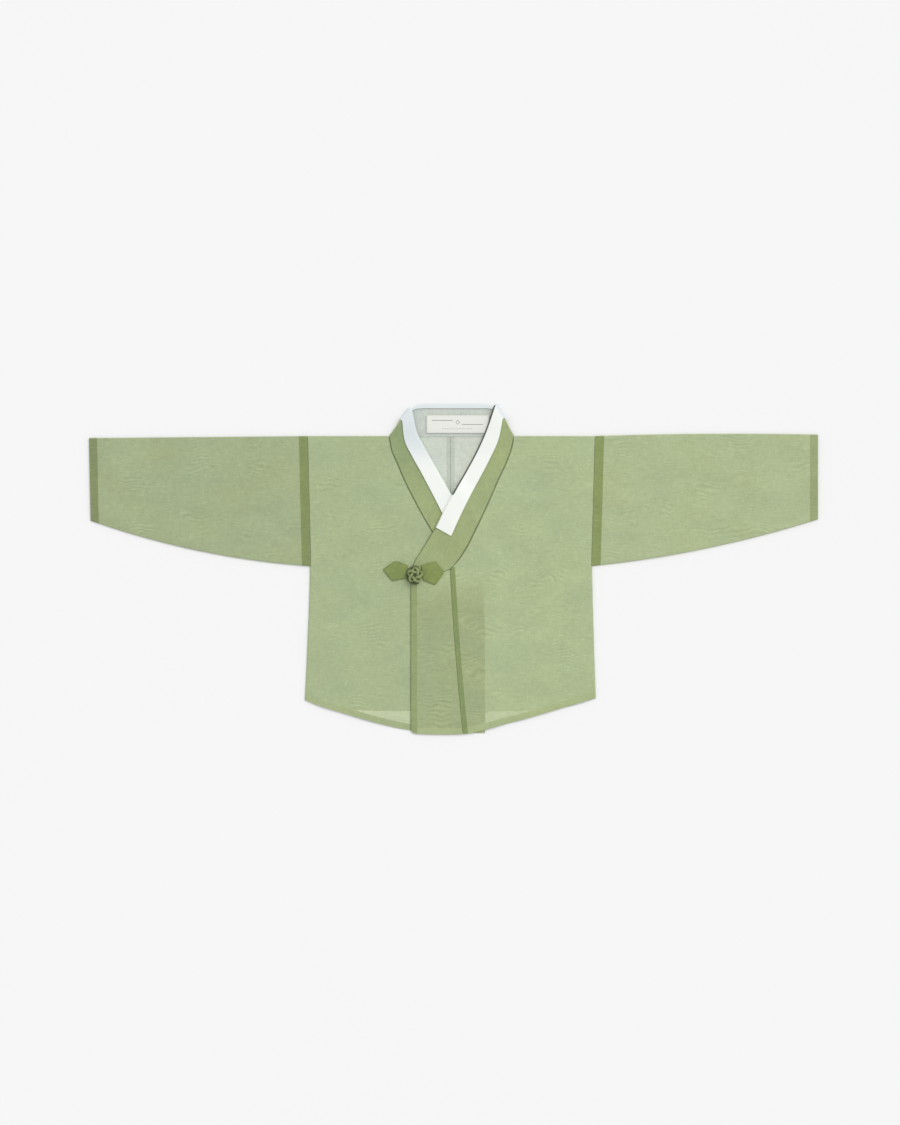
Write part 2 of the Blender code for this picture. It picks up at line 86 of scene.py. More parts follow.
SIDES = {
    "left": {"out": -1, "armhole_x": (-145.4, -142.3), "flare": -5.3, "hem_y": -130.5,
             "cuff_x": -364.2, "cuff_lean": 0.02, "cuff_drop": 2.0, "crown": 0.0, "belly": 2.0},
    "right": {"out": 1, "armhole_x": (141.2, 137.6), "flare": 3.6, "hem_y": -128.0,
              "cuff_x": 364.2, "cuff_lean": 0.0, "cuff_drop": -1.4, "crown": 1.6, "belly": 0.0},
}

# Collar sections: the seam, the free edge, and the width of the white strip on that edge.
RIGHT_BAND = (
    # seam_x, seam_y, edge_x, edge_y, strip
    (-41.3, -8.0, -41.9, -1.5, 0.0),
    (-26.5, -6.6, -38.6, 7.6, 0.0),
    (-14.0, -4.6, -34.0, 15.0, 0.0),
    (-3.4, -0.9, -28.0, 24.6, 0.0),
    (4.6, 8.0, -21.8, 34.8, 0.0),
    (14.3, 23.2, -17.9, 41.2, 17.8),
    (23.6, 41.9, -9.2, 59.2, 17.3),
    (34.4, 64.7, 2.0, 80.2, 16.5),
    (43.7, 86.1, 14.0, 101.2, 15.9),
    (51.8, 103.5, 23.6, 119.4, 15.7),
    (57.6, 118.6, 31.4, 137.0, 16.0),
    (60.4, 131.4, 40.2, 162.7, 16.2),
)
BACK_BAND = (
    (60.4, 131.4, 40.2, 162.7, 16.2),
    (48.0, 131.4, 33.0, 164.4, 15.4),
    (35.0, 131.4, 25.0, 164.8, 15.0),
    (18.0, 131.4, 13.0, 165.0, 15.2),
    (-2.0, 131.4, -2.0, 165.0, 15.5),
    (-22.0, 131.4, -17.0, 165.0, 15.5),
    (-39.0, 131.4, -29.0, 164.8, 15.5),
    (-52.0, 131.4, -36.0, 163.6, 15.5),
    (-64.3, 131.4, -41.4, 159.3, 15.5),
)
LEFT_BAND = (
    (-64.3, 131.4, -41.4, 159.3, 15.5),
    (-61.6, 117.4, -36.4, 137.0, 15.5),
    (-56.7, 106.2, -28.6, 121.2, 15.5),
    (-48.7, 87.4, -19.2, 104.4, 15.5),
    (-39.3, 68.7, -8.9, 86.4, 16.2),
    (-29.9, 51.3, 0.9, 69.4, 17.2),
    (-21.2, 36.5, 9.5, 53.2, 17.6),
    (-13.5, 22.5, 17.5, 39.4, 18.0),
    (-3.6, 8.0, 22.6, 27.0, 0.0),
    (4.0, 1.0, 27.4, 20.4, 0.0),
    (14.5, -3.6, 30.2, 11.4, 0.0),
    (29.0, -6.4, 31.0, 1.6, 0.0),
)

# Hems, from left to right: x, y
FRONT_HEM_LEFT = ((-150.0, -130.5), (-133.5, -137.5), (-113.5, -143.5), (-72.5, -155.5),
                  (-44.5, -161.5), (-20.0, -163.6), (31.5, -164.4))
FRONT_HEM_RIGHT = ((-42.7, -161.6), (-40.5, -164.2), (-37.0, -165.0), (14.0, -165.0),
                   (32.5, -160.8), (51.5, -155.5), (74.5, -149.5), (114.5, -137.5),
                   (133.5, -131.5), (146.0, -128.0))
BACK_HEM = ((-150.0, -130.5), (-132.0, -137.0), (-108.0, -140.8), (-84.0, -142.0),
            (80.0, -142.0), (106.0, -139.6), (129.0, -134.6), (146.0, -128.0))

# %% [markdown]
# ## Laying one piece on another
#
# Cloth laid on other cloth rises by one layer where it crosses an edge, and comes down again
# a little way past it. Each piece here knows the outlines of what lies under it, and a formula
# adds one layer for each outline, with a soft slope outside it. A cloth simulation could find
# the same shape, but the formula keeps every seam exactly where the cut puts it.

# %% Lines and distances
def along(table, x):
    """Height of a table's line at x, for one place or for many."""
    places = np.array(table, float)
    return np.interp(x, places[:, 0], places[:, 1])


def soft_step(value):
    value = np.clip(value, 0.0, 1.0)
    return value * value * (3.0 - 2.0 * value)


def distance_to_line(x, y, line, closed=False):
    """Distance from many points to a line of points."""
    nearest = np.full(np.shape(x), np.inf)
    line = [tuple(point) for point in line]
    starts = line if closed else line[:-1]
    ends = line[1:] + line[:1] if closed else line[1:]
    for (ax, ay), (bx, by) in zip(starts, ends):
        run_x, run_y = bx - ax, by - ay
        length = max(run_x * run_x + run_y * run_y, 1e-9)
        share = np.clip(((x - ax) * run_x + (y - ay) * run_y) / length, 0.0, 1.0)
        nearest = np.minimum(nearest, np.hypot(x - ax - share * run_x, y - ay - share * run_y))
    return nearest


def inside_outline(x, y, outline):
    inside = np.zeros(np.shape(x), bool)
    for (ax, ay), (bx, by) in zip(outline, outline[1:] + outline[:1]):
        if ay == by:
            continue
        crosses = (ay > y) != (by > y)
        inside ^= crosses & (x < ax + (y - ay) * (bx - ax) / (by - ay))
    return inside


def rest_height(x, y, below):
    """Middle of a layer that lies on the given outlines, each one layer high."""
    layers = np.zeros(np.shape(x))
    for outline in below:
        outside = np.where(inside_outline(x, y, outline), 0.0,
                           distance_to_line(x, y, outline, closed=True))
        layers += 1.0 - soft_step((outside - LEDGE) / SLOPE)
    return FLOOR + PLY * layers


# %% Outlines of what lies below
def toward(start, end, run):
    """The point a given run from start towards end; works on arrays of points too."""
    start, end = np.asarray(start, float), np.asarray(end, float)
    step = end - start
    length = np.maximum(np.linalg.norm(step, axis=-1, keepdims=True), 1e-9)
    return start + step / length * np.asarray(run, float)[..., None]


def seam_points(band):
    return [tuple(row[0:2]) for row in band]


def edge_points(band):
    return [tuple(row[2:4]) for row in band]


def strip_outline(band, width=None):
    striped = [row for row in band if row[4] > 0.0]
    far = [tuple(toward(row[2:4], row[0:2], width or row[4])) for row in striped]
    return edge_points(striped) + far[::-1]


def armhole_x(side, y):
    top, foot = side["armhole_x"]
    return foot + (top - foot) * (y - UNDERARM_Y) / (SHOULDER_Y - UNDERARM_Y)


def cuff_edge(side, y):
    """Cuff, which may lean in below the shoulder."""
    return side["cuff_x"] - side["out"] * side["cuff_lean"] * (SHOULDER_Y - y)


def armhole_ends(side):
    return [(armhole_x(side, SHOULDER_Y), SHOULDER_Y), (armhole_x(side, UNDERARM_Y), UNDERARM_Y)]


LEFT, RIGHT = SIDES["left"], SIDES["right"]
STRIP_INNER = 5.0
NECK_LEFT, NECK_RIGHT = seam_points(LEFT_BAND)[0], seam_points(RIGHT_BAND)[-1]
LABEL_BOX = [value / MM for value in (*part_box("neck_label")[0][:2], *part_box("neck_label")[1][:2])]

back_outline = (armhole_ends(LEFT) + list(BACK_HEM) + armhole_ends(RIGHT)[::-1] + [NECK_RIGHT]
                + edge_points(BACK_BAND) + [NECK_LEFT])
inner_outline = (edge_points(LEFT_BAND) + [(UNDERLAP_X, FRONT_HEM_LEFT[-1][1])]
                 + list(FRONT_HEM_LEFT)[::-1][1:] + armhole_ends(LEFT)[::-1] + [NECK_LEFT])
outer_outline = (edge_points(RIGHT_BAND)[::-1] + list(FRONT_HEM_RIGHT)
                 + armhole_ends(RIGHT)[::-1] + [NECK_RIGHT])
left, low, right, high = LABEL_BOX
label_outline = [(left, low), (right, low), (right, high), (left, high)]

BELOW_COLLAR_BACK = [strip_outline(BACK_BAND)]
BELOW_INNER = [back_outline, strip_outline(BACK_BAND), strip_outline(BACK_BAND, STRIP_INNER),
               label_outline]
BELOW_LEFT_BAND = BELOW_INNER + [strip_outline(LEFT_BAND, STRIP_INNER)]
BELOW_OUTER = BELOW_LEFT_BAND + [inner_outline, strip_outline(LEFT_BAND)]
BELOW_RIGHT_BAND = BELOW_OUTER + [strip_outline(RIGHT_BAND, STRIP_INNER)]
BELOW_KNOT = BELOW_OUTER + [outer_outline]

# %% [markdown]
# ## Creases
#
# The jacket was pressed, then handled: a few long soft ridges are left, most of them across
# the body and out from the armholes, with shorter ones beside the collar and above the knot.
# Each is a low ridge. All layers at one place rise together, because they lie
# on each other, so one function serves every piece.

# %% Ridges
RIDGES = (
    # x, y, turn in degrees, half length, half width, height; millimetres
    (-205.0, 62.0, 8.0, 62.0, 7.0, 0.85),
    (-270.0, 92.0, -6.0, 48.0, 6.0, 0.55),
    (-312.0, 68.0, 74.0, 30.0, 8.0, 0.50),
    (-178.0, 104.0, -14.0, 34.0, 5.0, 0.60),
    (-232.0, 28.0, 12.0, 40.0, 6.0, 0.55),
    (212.0, 70.0, -9.0, 58.0, 7.0, 0.80),
    (288.0, 96.0, 5.0, 44.0, 6.0, 0.50),
    (325.0, 74.0, 98.0, 27.0, 9.0, 0.45),
    (172.0, 38.0, -24.0, 36.0, 6.0, 0.70),
    (-104.0, 88.0, -12.0, 38.0, 6.0, 0.70),
    (-116.0, 12.0, 22.0, 34.0, 7.0, 0.75),
    (-92.0, -58.0, -4.0, 52.0, 8.0, 0.60),
    (-70.0, -104.0, 6.0, 36.0, 7.0, 0.45),
    (-64.0, 32.0, 58.0, 26.0, 5.0, 0.75),
    (-78.0, -20.0, 80.0, 30.0, 7.0, 0.40),
    (98.0, 70.0, 14.0, 42.0, 6.0, 0.70),
    (76.0, 24.0, -38.0, 30.0, 6.0, 0.65),
    (104.0, -10.0, -10.0, 36.0, 7.0, 0.60),
    (96.0, -74.0, 4.0, 46.0, 8.0, 0.55),
    (58.0, -112.0, -8.0, 30.0, 6.0, 0.40),
    (38.0, 12.0, -52.0, 20.0, 4.5, 0.55),
    (70.0, 106.0, -20.0, 20.0, 4.5, 0.55),
    (-20.0, -66.0, 86.0, 44.0, 6.0, 0.35),
    (20.0, 78.0, 4.0, 14.0, 5.0, 0.20),
)


def lift(x, y):
    """How far all the layers at a place rise together."""
    rise = np.zeros(np.shape(x))
    for ridge_x, ridge_y, turn, length, width, height in RIDGES:
        turn = math.radians(turn)
        along_it = (x - ridge_x) * math.cos(turn) + (y - ridge_y) * math.sin(turn)
        across_it = (y - ridge_y) * math.cos(turn) - (x - ridge_x) * math.sin(turn)
        bent = across_it - 0.0035 * along_it * along_it * math.copysign(1.0, turn)
        rise += height * np.exp(-(along_it / length) ** 2 - (bent / width) ** 2)
    waves = np.sin(x / 17.0 + 1.3) * np.sin(y / 23.0 + 0.4) + np.sin(x / 31.0) * np.cos(y / 13.0)
    return rise + 0.07 * (waves + 2.0)


print("ridges on the jacket:", len(RIDGES))

# %% [markdown]
# ## From rows of points to cloth
#
# Every piece is a sheet: rows of points joined into faces, folded where the cut is folded.
# The helper below gathers the rows, joins them, adds the rounded folds, and then gives the
# sheet its thickness with a Solidify modifier. It also writes three kinds of numbers on the
# points, which the cloth's material reads later: thread, a place on the flat cloth that the
# weave follows; distances to seams and hems; and whether a face is the inner side.

# %% A sheet of cloth
TURN_STEPS = 8
SHARP_ANGLE = math.radians(50)
FAR = 99.0                      # stands for a distance that does not matter here
# ditch: distance to a painted shadow line along a seam, an edge or a fold
ATTRIBUTES = {"allowance": FAR, "second": FAR, "ditch": FAR, "under": -FAR, "single": -FAR,
              # shade: how much painted shade a place takes
              "shade": 0.0}


def placed(name, data):
    """A new object in the scene."""
    piece = bpy.data.objects.new(name, data)
    bpy.context.scene.collection.objects.link(piece)
    return piece


def applied(piece):
    """The piece's own mesh, with its modifiers turned into plain faces."""
    depsgraph = bpy.context.evaluated_depsgraph_get()
    mesh = bpy.data.meshes.new_from_object(piece.evaluated_get(depsgraph))
    piece.modifiers.clear()
    piece.data = mesh
    mesh.shade_smooth()
    return mesh


def store(mesh, name, values, kind="FLOAT", field="value"):
    """Writes a number, or a place, on each point of a mesh."""
    mesh.attributes.new(name, kind, "POINT").data.foreach_set(field, np.ravel(values))


def store_cut(mesh, values, thread):
    """Writes what the material reads: the distances, and each point's place on the flat cloth."""
    for attribute, unset in ATTRIBUTES.items():
        store(mesh, attribute, values.get(attribute, unset) + np.zeros(len(thread)))
    flat = np.column_stack([thread, np.zeros(len(thread))]) * MM
    store(mesh, "thread", flat, "FLOAT_VECTOR", "vector")


class Sheet:
    """Rows of points in millimetres, joined into one folded sheet."""

    def __init__(self, name):
        self.name = name
        self.places = []
        self.faces = []
        self.thread = []
        self.layer = []

    def add(self, places, thread, layer):
        first = len(self.places)
        self.places.extend(map(tuple, places))
        self.thread.extend(map(tuple, thread))
        self.layer.extend([layer] * len(places))
        return list(range(first, first + len(places)))

    def join(self, row, next_row, ring=False):
        count = len(row) if ring else len(row) - 1
        for index in range(count):
            after = (index + 1) % len(row)
            self.faces.append((row[index], row[after], next_row[after], next_row[index]))

    def grid(self, rows, threads, layer, ring=False):
        made = [self.add(row, thread, layer) for row, thread in zip(rows, threads)]
        for row, next_row in zip(made, made[1:]):
            self.join(row, next_row, ring)
        return made

    def turn(self, upper, lower, outward):
        """A rounded fold that joins the upper row to the lower row."""
        high = np.array([self.places[index] for index in upper])
        low = np.array([self.places[index] for index in lower])
        top_thread = np.array([self.thread[index] for index in upper])
        low_thread = np.array([self.thread[index] for index in lower])
        middle, radius = (high + low) / 2, (high - low) / 2
        reach = np.linalg.norm(radius, axis=1, keepdims=True) * np.array(outward, float)
        rows = [upper]
        for step in range(1, TURN_STEPS):
            angle = math.pi * step / TURN_STEPS
            share = step / TURN_STEPS
            places = middle + radius * math.cos(angle) + reach * math.sin(angle)
            thread = top_thread + (low_thread - top_thread) * share
            rows.append(self.add(places, thread, "turn"))
        rows.append(lower)
        for row, next_row in zip(rows, rows[1:]):
            self.join(row, next_row)

    def build(self, numbers):
        """The finished piece; numbers gives the distances for each point of the sheet."""
        places = np.array(self.places, float)
        values = numbers(places[:, 0], places[:, 1], np.array(self.layer))
        places[:, 2] += lift(places[:, 0], places[:, 1])
        mesh = bpy.data.meshes.new(self.name)
        mesh.from_pydata((places * MM).tolist(), [], self.faces)
        bm = bmesh.new()
        bm.from_mesh(mesh)
        bmesh.ops.recalc_face_normals(bm, faces=bm.faces)
        outside_up = max(bm.faces, key=lambda face: face.calc_center_median().z)
        if outside_up.normal.z < 0.0:
            bmesh.ops.reverse_faces(bm, faces=bm.faces)
        bm.to_mesh(mesh)
        bm.free()
        store_cut(mesh, values, np.array(self.thread, float))
        piece = placed(self.name, mesh)
        solid = piece.modifiers.new("wall", "SOLIDIFY")
        solid.thickness = CLOTH * MM
        solid.offset = 0.0
        solid.use_even_offset = True
        mesh = applied(piece)
        # The wall's inner side has its points after those of the sheet.
        store(mesh, "inside", (np.arange(len(mesh.vertices)) >= len(places)).astype(float))
        mesh.set_sharp_from_angle(angle=SHARP_ANGLE)
        return piece

# %% [markdown]
# ## Smooth lines through the rows
#
# The tables have a row every few centimetres. A Catmull-Rom curve passes through every row,
# so the fine rows keep to the cut and the collar and the hems bend without corners.

# %% Curves through rows
FINE = 3.0                      # length of a face, in millimetres


def curve_through(rows, step=FINE):
    """Fine rows on a smooth curve through the given ones, and where each falls between them."""
    rows = np.array(rows, float)
    ends = np.vstack([2 * rows[0] - rows[1], rows, 2 * rows[-1] - rows[-2]])
    made, indices = [], []
    for index in range(len(rows) - 1):
        corners = ends[index:index + 4]
        runs = [max(np.linalg.norm(b - a), 1e-6) ** 0.5 for a, b in zip(corners, corners[1:])]
        knots = np.concatenate([[0.0], np.cumsum(runs)])
        count = max(1, math.ceil(np.linalg.norm(corners[2] - corners[1]) / step))
        for part in range(count):
            at = knots[1] + (knots[2] - knots[1]) * part / count
            level = list(corners)
            for depth in (1, 2, 3):
                for first in range(4 - depth):
                    low, high = knots[first], knots[first + depth]
                    if depth == 3:
                        low, high = knots[1], knots[2]
                    level[first] = (level[first] * (high - at) + level[first + 1] * (at - low)) / (high - low)
            made.append(level[0])
            indices.append(index + part / count)
    made.append(rows[-1])
    indices.append(len(rows) - 1.0)
    return np.array(made), np.array(indices)


def shares_of(length, step=FINE):
    return np.linspace(0.0, 1.0, max(2, math.ceil(length / step) + 1))


hem_left = curve_through(FRONT_HEM_LEFT)[0]
hem_right = curve_through(FRONT_HEM_RIGHT)[0]
hem_back = curve_through(BACK_HEM)[0]
seam_right = curve_through(seam_points(RIGHT_BAND))[0]
seam_left = curve_through(seam_points(LEFT_BAND))[0]


# %% [markdown]
# ## The body: two halves
#
# Each half (gil) is cut in one piece for back and front, folded at the shoulder, and joined to
# the other half by a seam down the middle of the back. The front hem dips below the back hem,
# so a narrow zone near the hem is one layer thick and looks paler. The rows of points run from
# the collar's seam to the side, and turn more and more like the hem as they near it.

# %% Rows of the body
HEM_ALLOWANCE = 6.3
EDGE_ALLOWANCE = 6.4
SEOP_ALLOWANCE = 5.0
CENTRE_ALLOWANCE = 4.0
ROW_STEP = 4.0
TURN_CLEARANCE = 1.3
FLARE_POWER = 1.3
HALF_WIDTH = 150.0
NECK_POINTS = 19
SEOP_TOP_X, SEOP_TOP_Y = -3.4, -0.9          # where the panel's seam meets the collar
SEOP_SLOPE, SEOP_CURVE = 0.055, 0.00014
SEOP_LINE_TOP = 2.0
UNDERLAP_TOP, UNDERLAP_FADE = -22.0, 60.0
THIN, THINNER, THINNEST = 0.1, 0.2, 0.3      # added to a distance, to paint a thinner shadow line than at a seam


def side_drop(side, y):
    """Share of the way from the underarm down the side seam."""
    return np.maximum(0.0, (UNDERARM_Y - y) / (UNDERARM_Y - side["hem_y"]))


def outer_x(side, y):
    return armhole_x(side, max(y, UNDERARM_Y)) + side["flare"] * side_drop(side, y) ** FLARE_POWER


def seop_seam_x(y):
    drop = SEOP_TOP_Y - y
    return SEOP_TOP_X + SEOP_SLOPE * drop + SEOP_CURVE * drop * drop


def hem_row(side, hem, level, inner_x, shares):
    drop = soft_step(side_drop(side, level))
    x = inner_x + (outer_x(side, level) - inner_x) * shares
    return np.column_stack([x, level + (along(hem, x) - side["hem_y"]) * drop])


def side_levels(seam_y):
    levels = []
    for y in seam_y:
        if y > UNDERARM_Y:
            levels.append(y)
        elif levels[-1] > UNDERARM_Y:
            levels.append(UNDERARM_Y)
        else:
            levels.append(levels[-1] - ROW_STEP)
    return levels


def laid(rows, below, raised=0.0):
    """Rows of places in the plane, raised on to what lies under them."""
    return [np.column_stack([row, rest_height(row[:, 0], row[:, 1], below) + raised]) for row in rows]


def body_half(name, side, seam, hem, low_edge, below):
    """Back and front in one, folded at the shoulder and sewn together down the side."""
    shares = shares_of(HALF_WIDTH)
    inner, places = curve_through(seam)
    table_levels = side_levels([point[1] for point in seam])
    levels = list(np.interp(places, range(len(seam)), table_levels))
    rows = []
    for (x, y), level in zip(inner, levels):
        end_x = outer_x(side, level)
        rows.append(np.column_stack([x + (end_x - x) * shares, y + (level - y) * shares]))
    start_x = inner[0][0] + side["out"] * TURN_CLEARANCE
    rows[0][:, 0] = start_x + (rows[0][-1, 0] - start_x) * shares
    lower = np.linspace(levels[-1], side["hem_y"], math.ceil((levels[-1] - side["hem_y"]) / FINE) + 1)
    for level in lower[1:]:
        rows.append(hem_row(side, hem, level, low_edge(level), shares))
        levels.append(level)
    sheet = Sheet(name)
    front = sheet.grid(laid(rows, below), rows, "front")
    centre = CENTRE_X + side["out"] * SEAM_GAP / 2
    shoulder = rows[0][:, 0]
    neck = centre + (shoulder[0] - centre) * np.linspace(0.0, 1.0, NECK_POINTS, endpoint=False)
    across = (np.concatenate([neck, shoulder]) - centre) / (shoulder[-1] - centre)
    back_rows = [hem_row(side, hem_back, level, centre, across) for level in levels]
    flat = [np.column_stack([row[:, 0], 2 * SHOULDER_Y - row[:, 1]]) for row in back_rows]
    back = sheet.grid(laid(back_rows, []), flat, "back")
    sewn = int(np.argmin(np.abs(np.array(levels) - UNDERARM_Y)))
    sheet.turn([row[-1] for row in front[sewn:]], [row[-1] for row in back[sewn:]], (side["out"], 0, 0))
    sheet.turn(front[0], back[0][-len(shares):], (0, 1, 0))
    return sheet


# %% The two halves
def gil_left_numbers(x, y, layer):
    hem_gap = distance_to_line(x, y, hem_left)
    return {
        "allowance": hem_gap / HEM_ALLOWANCE,
        "second": np.where(layer == "back", np.abs(x - CENTRE_X) / CENTRE_ALLOWANCE, FAR),
        # a painted shadow line along the collar's seam
        "ditch": distance_to_line(x, y, seam_left),
        "single": along(hem_back, x) - y,
    }


def underlap(x, y):
    """Positive where the inner front lies underneath; it shows less and less near the collar."""
    return np.minimum(UNDERLAP_X - x, (UNDERLAP_TOP - y) / UNDERLAP_FADE)


def gil_right_numbers(x, y, layer):
    hem_gap = distance_to_line(x, y, hem_right)
    seop_gap = np.where(y < SEOP_LINE_TOP, np.abs(x - seop_seam_x(y)), FAR)
    return {
        "allowance": hem_gap / HEM_ALLOWANCE,
        "second": np.where(layer == "front", seop_gap / SEOP_ALLOWANCE,
                           np.abs(x - CENTRE_X) / CENTRE_ALLOWANCE),
        # a painted shadow line along the collar's seam
        "ditch": distance_to_line(x, y, seam_right),
        "under": underlap(x, y),
        "single": np.where(x < UNDERLAP_X, -FAR, along(hem_back, x) - y),
    }


def underlap_edge(level):
    return np.interp(-level, [6.0, 18.0], [29.0, UNDERLAP_X])


def overlap_seam(level):
    drop = soft_step(side_drop(RIGHT, level))
    return seop_seam_x(level + (OVERLAP_HEM_Y - RIGHT["hem_y"]) * drop)


left_seam = seam_points(LEFT_BAND)
right_seam = [point for point in seam_points(RIGHT_BAND) if point[1] >= SEOP_TOP_Y][::-1]
sheets = {}
pieces = {}
sheets["gil_left"] = body_half("jeogori_gil_left", LEFT, left_seam, hem_left, underlap_edge, BELOW_INNER)
pieces["gil_left"] = sheets["gil_left"].build(gil_left_numbers)
sheets["gil_right"] = body_half("jeogori_gil_right", RIGHT, right_seam, hem_right, overlap_seam,
                                BELOW_OUTER)
pieces["gil_right"] = sheets["gil_right"].build(gil_right_numbers)
print("body halves:", [len(pieces[name].data.polygons) for name in ("gil_left", "gil_right")], "faces")

# %% [markdown]
# ## The overlap panel
#
# The outer front ends in a long tapered panel (seop), sewn to it by a seam that leans away
# from the free edge. The free edge and the hem are turned in by a little over six millimetres,
# and the double cloth there reads as a margin of another tone.

# %% Overlap panel
SEOP_LENGTH, SEOP_WIDTH = 160.0, 50.0


def seop_sheet():
    sheet = Sheet("jeogori_seop")
    seam = np.array([point for point in seam_points(RIGHT_BAND) if point[1] <= SEOP_TOP_Y])
    rows = []
    for share in shares_of(SEOP_LENGTH):
        sewn_y = SEOP_TOP_Y + (OVERLAP_HEM_Y - SEOP_TOP_Y) * share
        right_x = seop_seam_x(sewn_y) - SEAM_GAP
        x = SEOP_X + (right_x - SEOP_X) * shares_of(SEOP_WIDTH, 2.0)
        top = along(seam, x)
        rows.append(np.column_stack([x, top + (along(hem_right, x) - top) * share]))
    sheet.grid(laid(rows, BELOW_OUTER), rows, "front")
    return sheet


def seop_numbers(x, y, _):
    hem_gap = distance_to_line(x, y, hem_right)
    return {
        "allowance": hem_gap / HEM_ALLOWANCE,
        "second": (x - SEOP_X) / EDGE_ALLOWANCE,
        # painted shadow lines along the collar's seam and the panel's free edge
        "ditch": np.minimum(distance_to_line(x, y, seam_right), x - SEOP_X + THINNER),
        "under": underlap(x, y),
    }


sheets["seop"] = seop_sheet()
pieces["seop"] = sheets["seop"].build(seop_numbers)

# %% [markdown]
# ## The sleeves
#
# A sleeve is a tube folded along the top and seamed along its curved lower edge, straight at
# the armhole and at the cuff. Its allowance at the armhole lies inside the sleeve, where it
# shows as a dark line, since it is several layers folded together.

# %% Sleeves
ARMHOLE_STRIPS = {"left": (0.0, 9.2), "right": (0.0, 9.4)}     # where the allowance starts and ends
CUFF_ALLOWANCES = {"left": 8.0, "right": 7.9}
UNDERSEAM_SLOPE, UNDERSEAM_CURVE = 0.10, 0.00047
SLEEVE_HEIGHT = 130.0


def sleeve_bow(share):
    """0 at both ends of a sleeve, 1 halfway along it."""
    return 4.0 * share * (1.0 - share)


def underseam_y(side, run, share):
    """Lower edge of a sleeve, at a run and a share of its length from the armhole."""
    straight = UNDERARM_Y + UNDERSEAM_SLOPE * run + UNDERSEAM_CURVE * run * run
    return straight - side["belly"] * sleeve_bow(share)


def half_turn(y, sign):
    angles = np.pi * np.arange(1, TURN_STEPS) / TURN_STEPS
    return np.column_stack([y + sign * FOLD_RADIUS * np.sin(angles),
                            FLOOR + FOLD_RADIUS * (1.0 + sign * np.cos(angles))])


def sleeve_sheet(side_name):
    side = SIDES[side_name]
    sheet = Sheet("jeogori_sleeve_" + side_name)
    rings, flats = [], []
    length = abs(side["cuff_x"] - armhole_x(side, UNDERARM_Y))
    parts = shares_of(SLEEVE_HEIGHT)
    for share in shares_of(length):
        low = underseam_y(side, share * length, share) + SEAM_GAP + FOLD_RADIUS + SOLID_WALL / 2
        top = SHOULDER_Y - side["cuff_drop"] * share + side["crown"] * sleeve_bow(share)
        rise = low + (top - low) * parts
        front = np.column_stack([rise, np.full(len(rise), FLOOR + PLY)])
        back = np.column_stack([rise[::-1], np.full(len(rise), FLOOR)])
        ring = np.vstack([front, half_turn(top, 1), back, half_turn(low, -1)])
        start = armhole_x(side, ring[:, 0]) + side["out"] * SEAM_GAP
        x = start + (cuff_edge(side, ring[:, 0]) - start) * share
        rings.append(np.column_stack([x, ring]))
        unrolled = np.concatenate([rise, np.full(TURN_STEPS - 1, top), 2 * top - rise[::-1],
                                   np.full(TURN_STEPS - 1, 2 * top - low)])
        flats.append(np.column_stack([x, unrolled]))
    sheet.grid(rings, flats, "sleeve", ring=True)
    return sheet


def sleeve_numbers(side_name):
    side = SIDES[side_name]
    first, last = ARMHOLE_STRIPS[side_name]

    def numbers(x, y, _):
        run = (x - armhole_x(side, y)) * side["out"]
        lengthwise = np.maximum(run, 0.0)
        share = np.minimum(lengthwise / np.abs(side["cuff_x"] - armhole_x(side, UNDERARM_Y)), 1.0)
        return {
            "allowance": np.abs(run - (first + last) / 2) / ((last - first) / 2),
            "second": (cuff_edge(side, y) - x) * side["out"] / CUFF_ALLOWANCES[side_name],
            # a painted shadow line along the sleeve's lower seam
            "ditch": y - underseam_y(side, lengthwise, share) + THINNER,
        }
    return numbers


for side_name in SIDES:
    name = "sleeve_" + side_name
    sheets[name] = sleeve_sheet(side_name)
    pieces[name] = sheets[name].build(sleeve_numbers(side_name))
print("sleeves:", [len(pieces["sleeve_" + name].data.polygons) for name in SIDES], "faces")

# %% [markdown]
# ## The collar and its white strip
#
# The collar band (git) is one straight strip of denser cloth. It runs up the outer front,
# turns over at the side of the neck, crosses the back with its inside up, turns again and runs
# down the inner front under everything. The white strip (dongjeong) is folded over the band's
# free edge, so it also turns over at both sides of the neck.

# %% Collar band
STRIP_WRAP = PLY
BAND_INSET = STRIP_WRAP + SOLID_WALL / 2 + 0.9
BANDS = ((RIGHT_BAND, BELOW_RIGHT_BAND, 1), (BACK_BAND, BELOW_COLLAR_BACK, -1),
         (LEFT_BAND, BELOW_LEFT_BAND, 1))
BAND_STEP = 2.5
BARE_ROWS = 5                   # rows of the outer band without the white strip
STRIPED_ROWS = 8                # rows of the inner band with it
COLLAR_SHADE_Y, COLLAR_SHADE_RUN = 45.0, 85.0          # painted shade on the inner band grows upwards from here


def fine_band(band):
    """Fine rows of a band; a row past the white strip's end has no strip."""
    rows, places = curve_through([row[:4] for row in band], BAND_STEP)
    widths = np.array([row[4] for row in band])
    strips = np.interp(places, range(len(band)), widths)
    bare = (widths[np.floor(places).astype(int)] == 0.0) | (widths[np.ceil(places).astype(int)] == 0.0)
    return rows, np.where(bare, 0.0, strips)


def arc_lengths(points):
    steps = np.linalg.norm(np.diff(points, axis=0), axis=1)
    return np.concatenate([[0.0], np.cumsum(steps)])


def fold_outward(row, sign):
    run = np.array([row[2] - row[0], row[3] - row[1]], float)
    run /= np.linalg.norm(run)
    return (run[1] * sign, -run[0] * sign, 0.0)


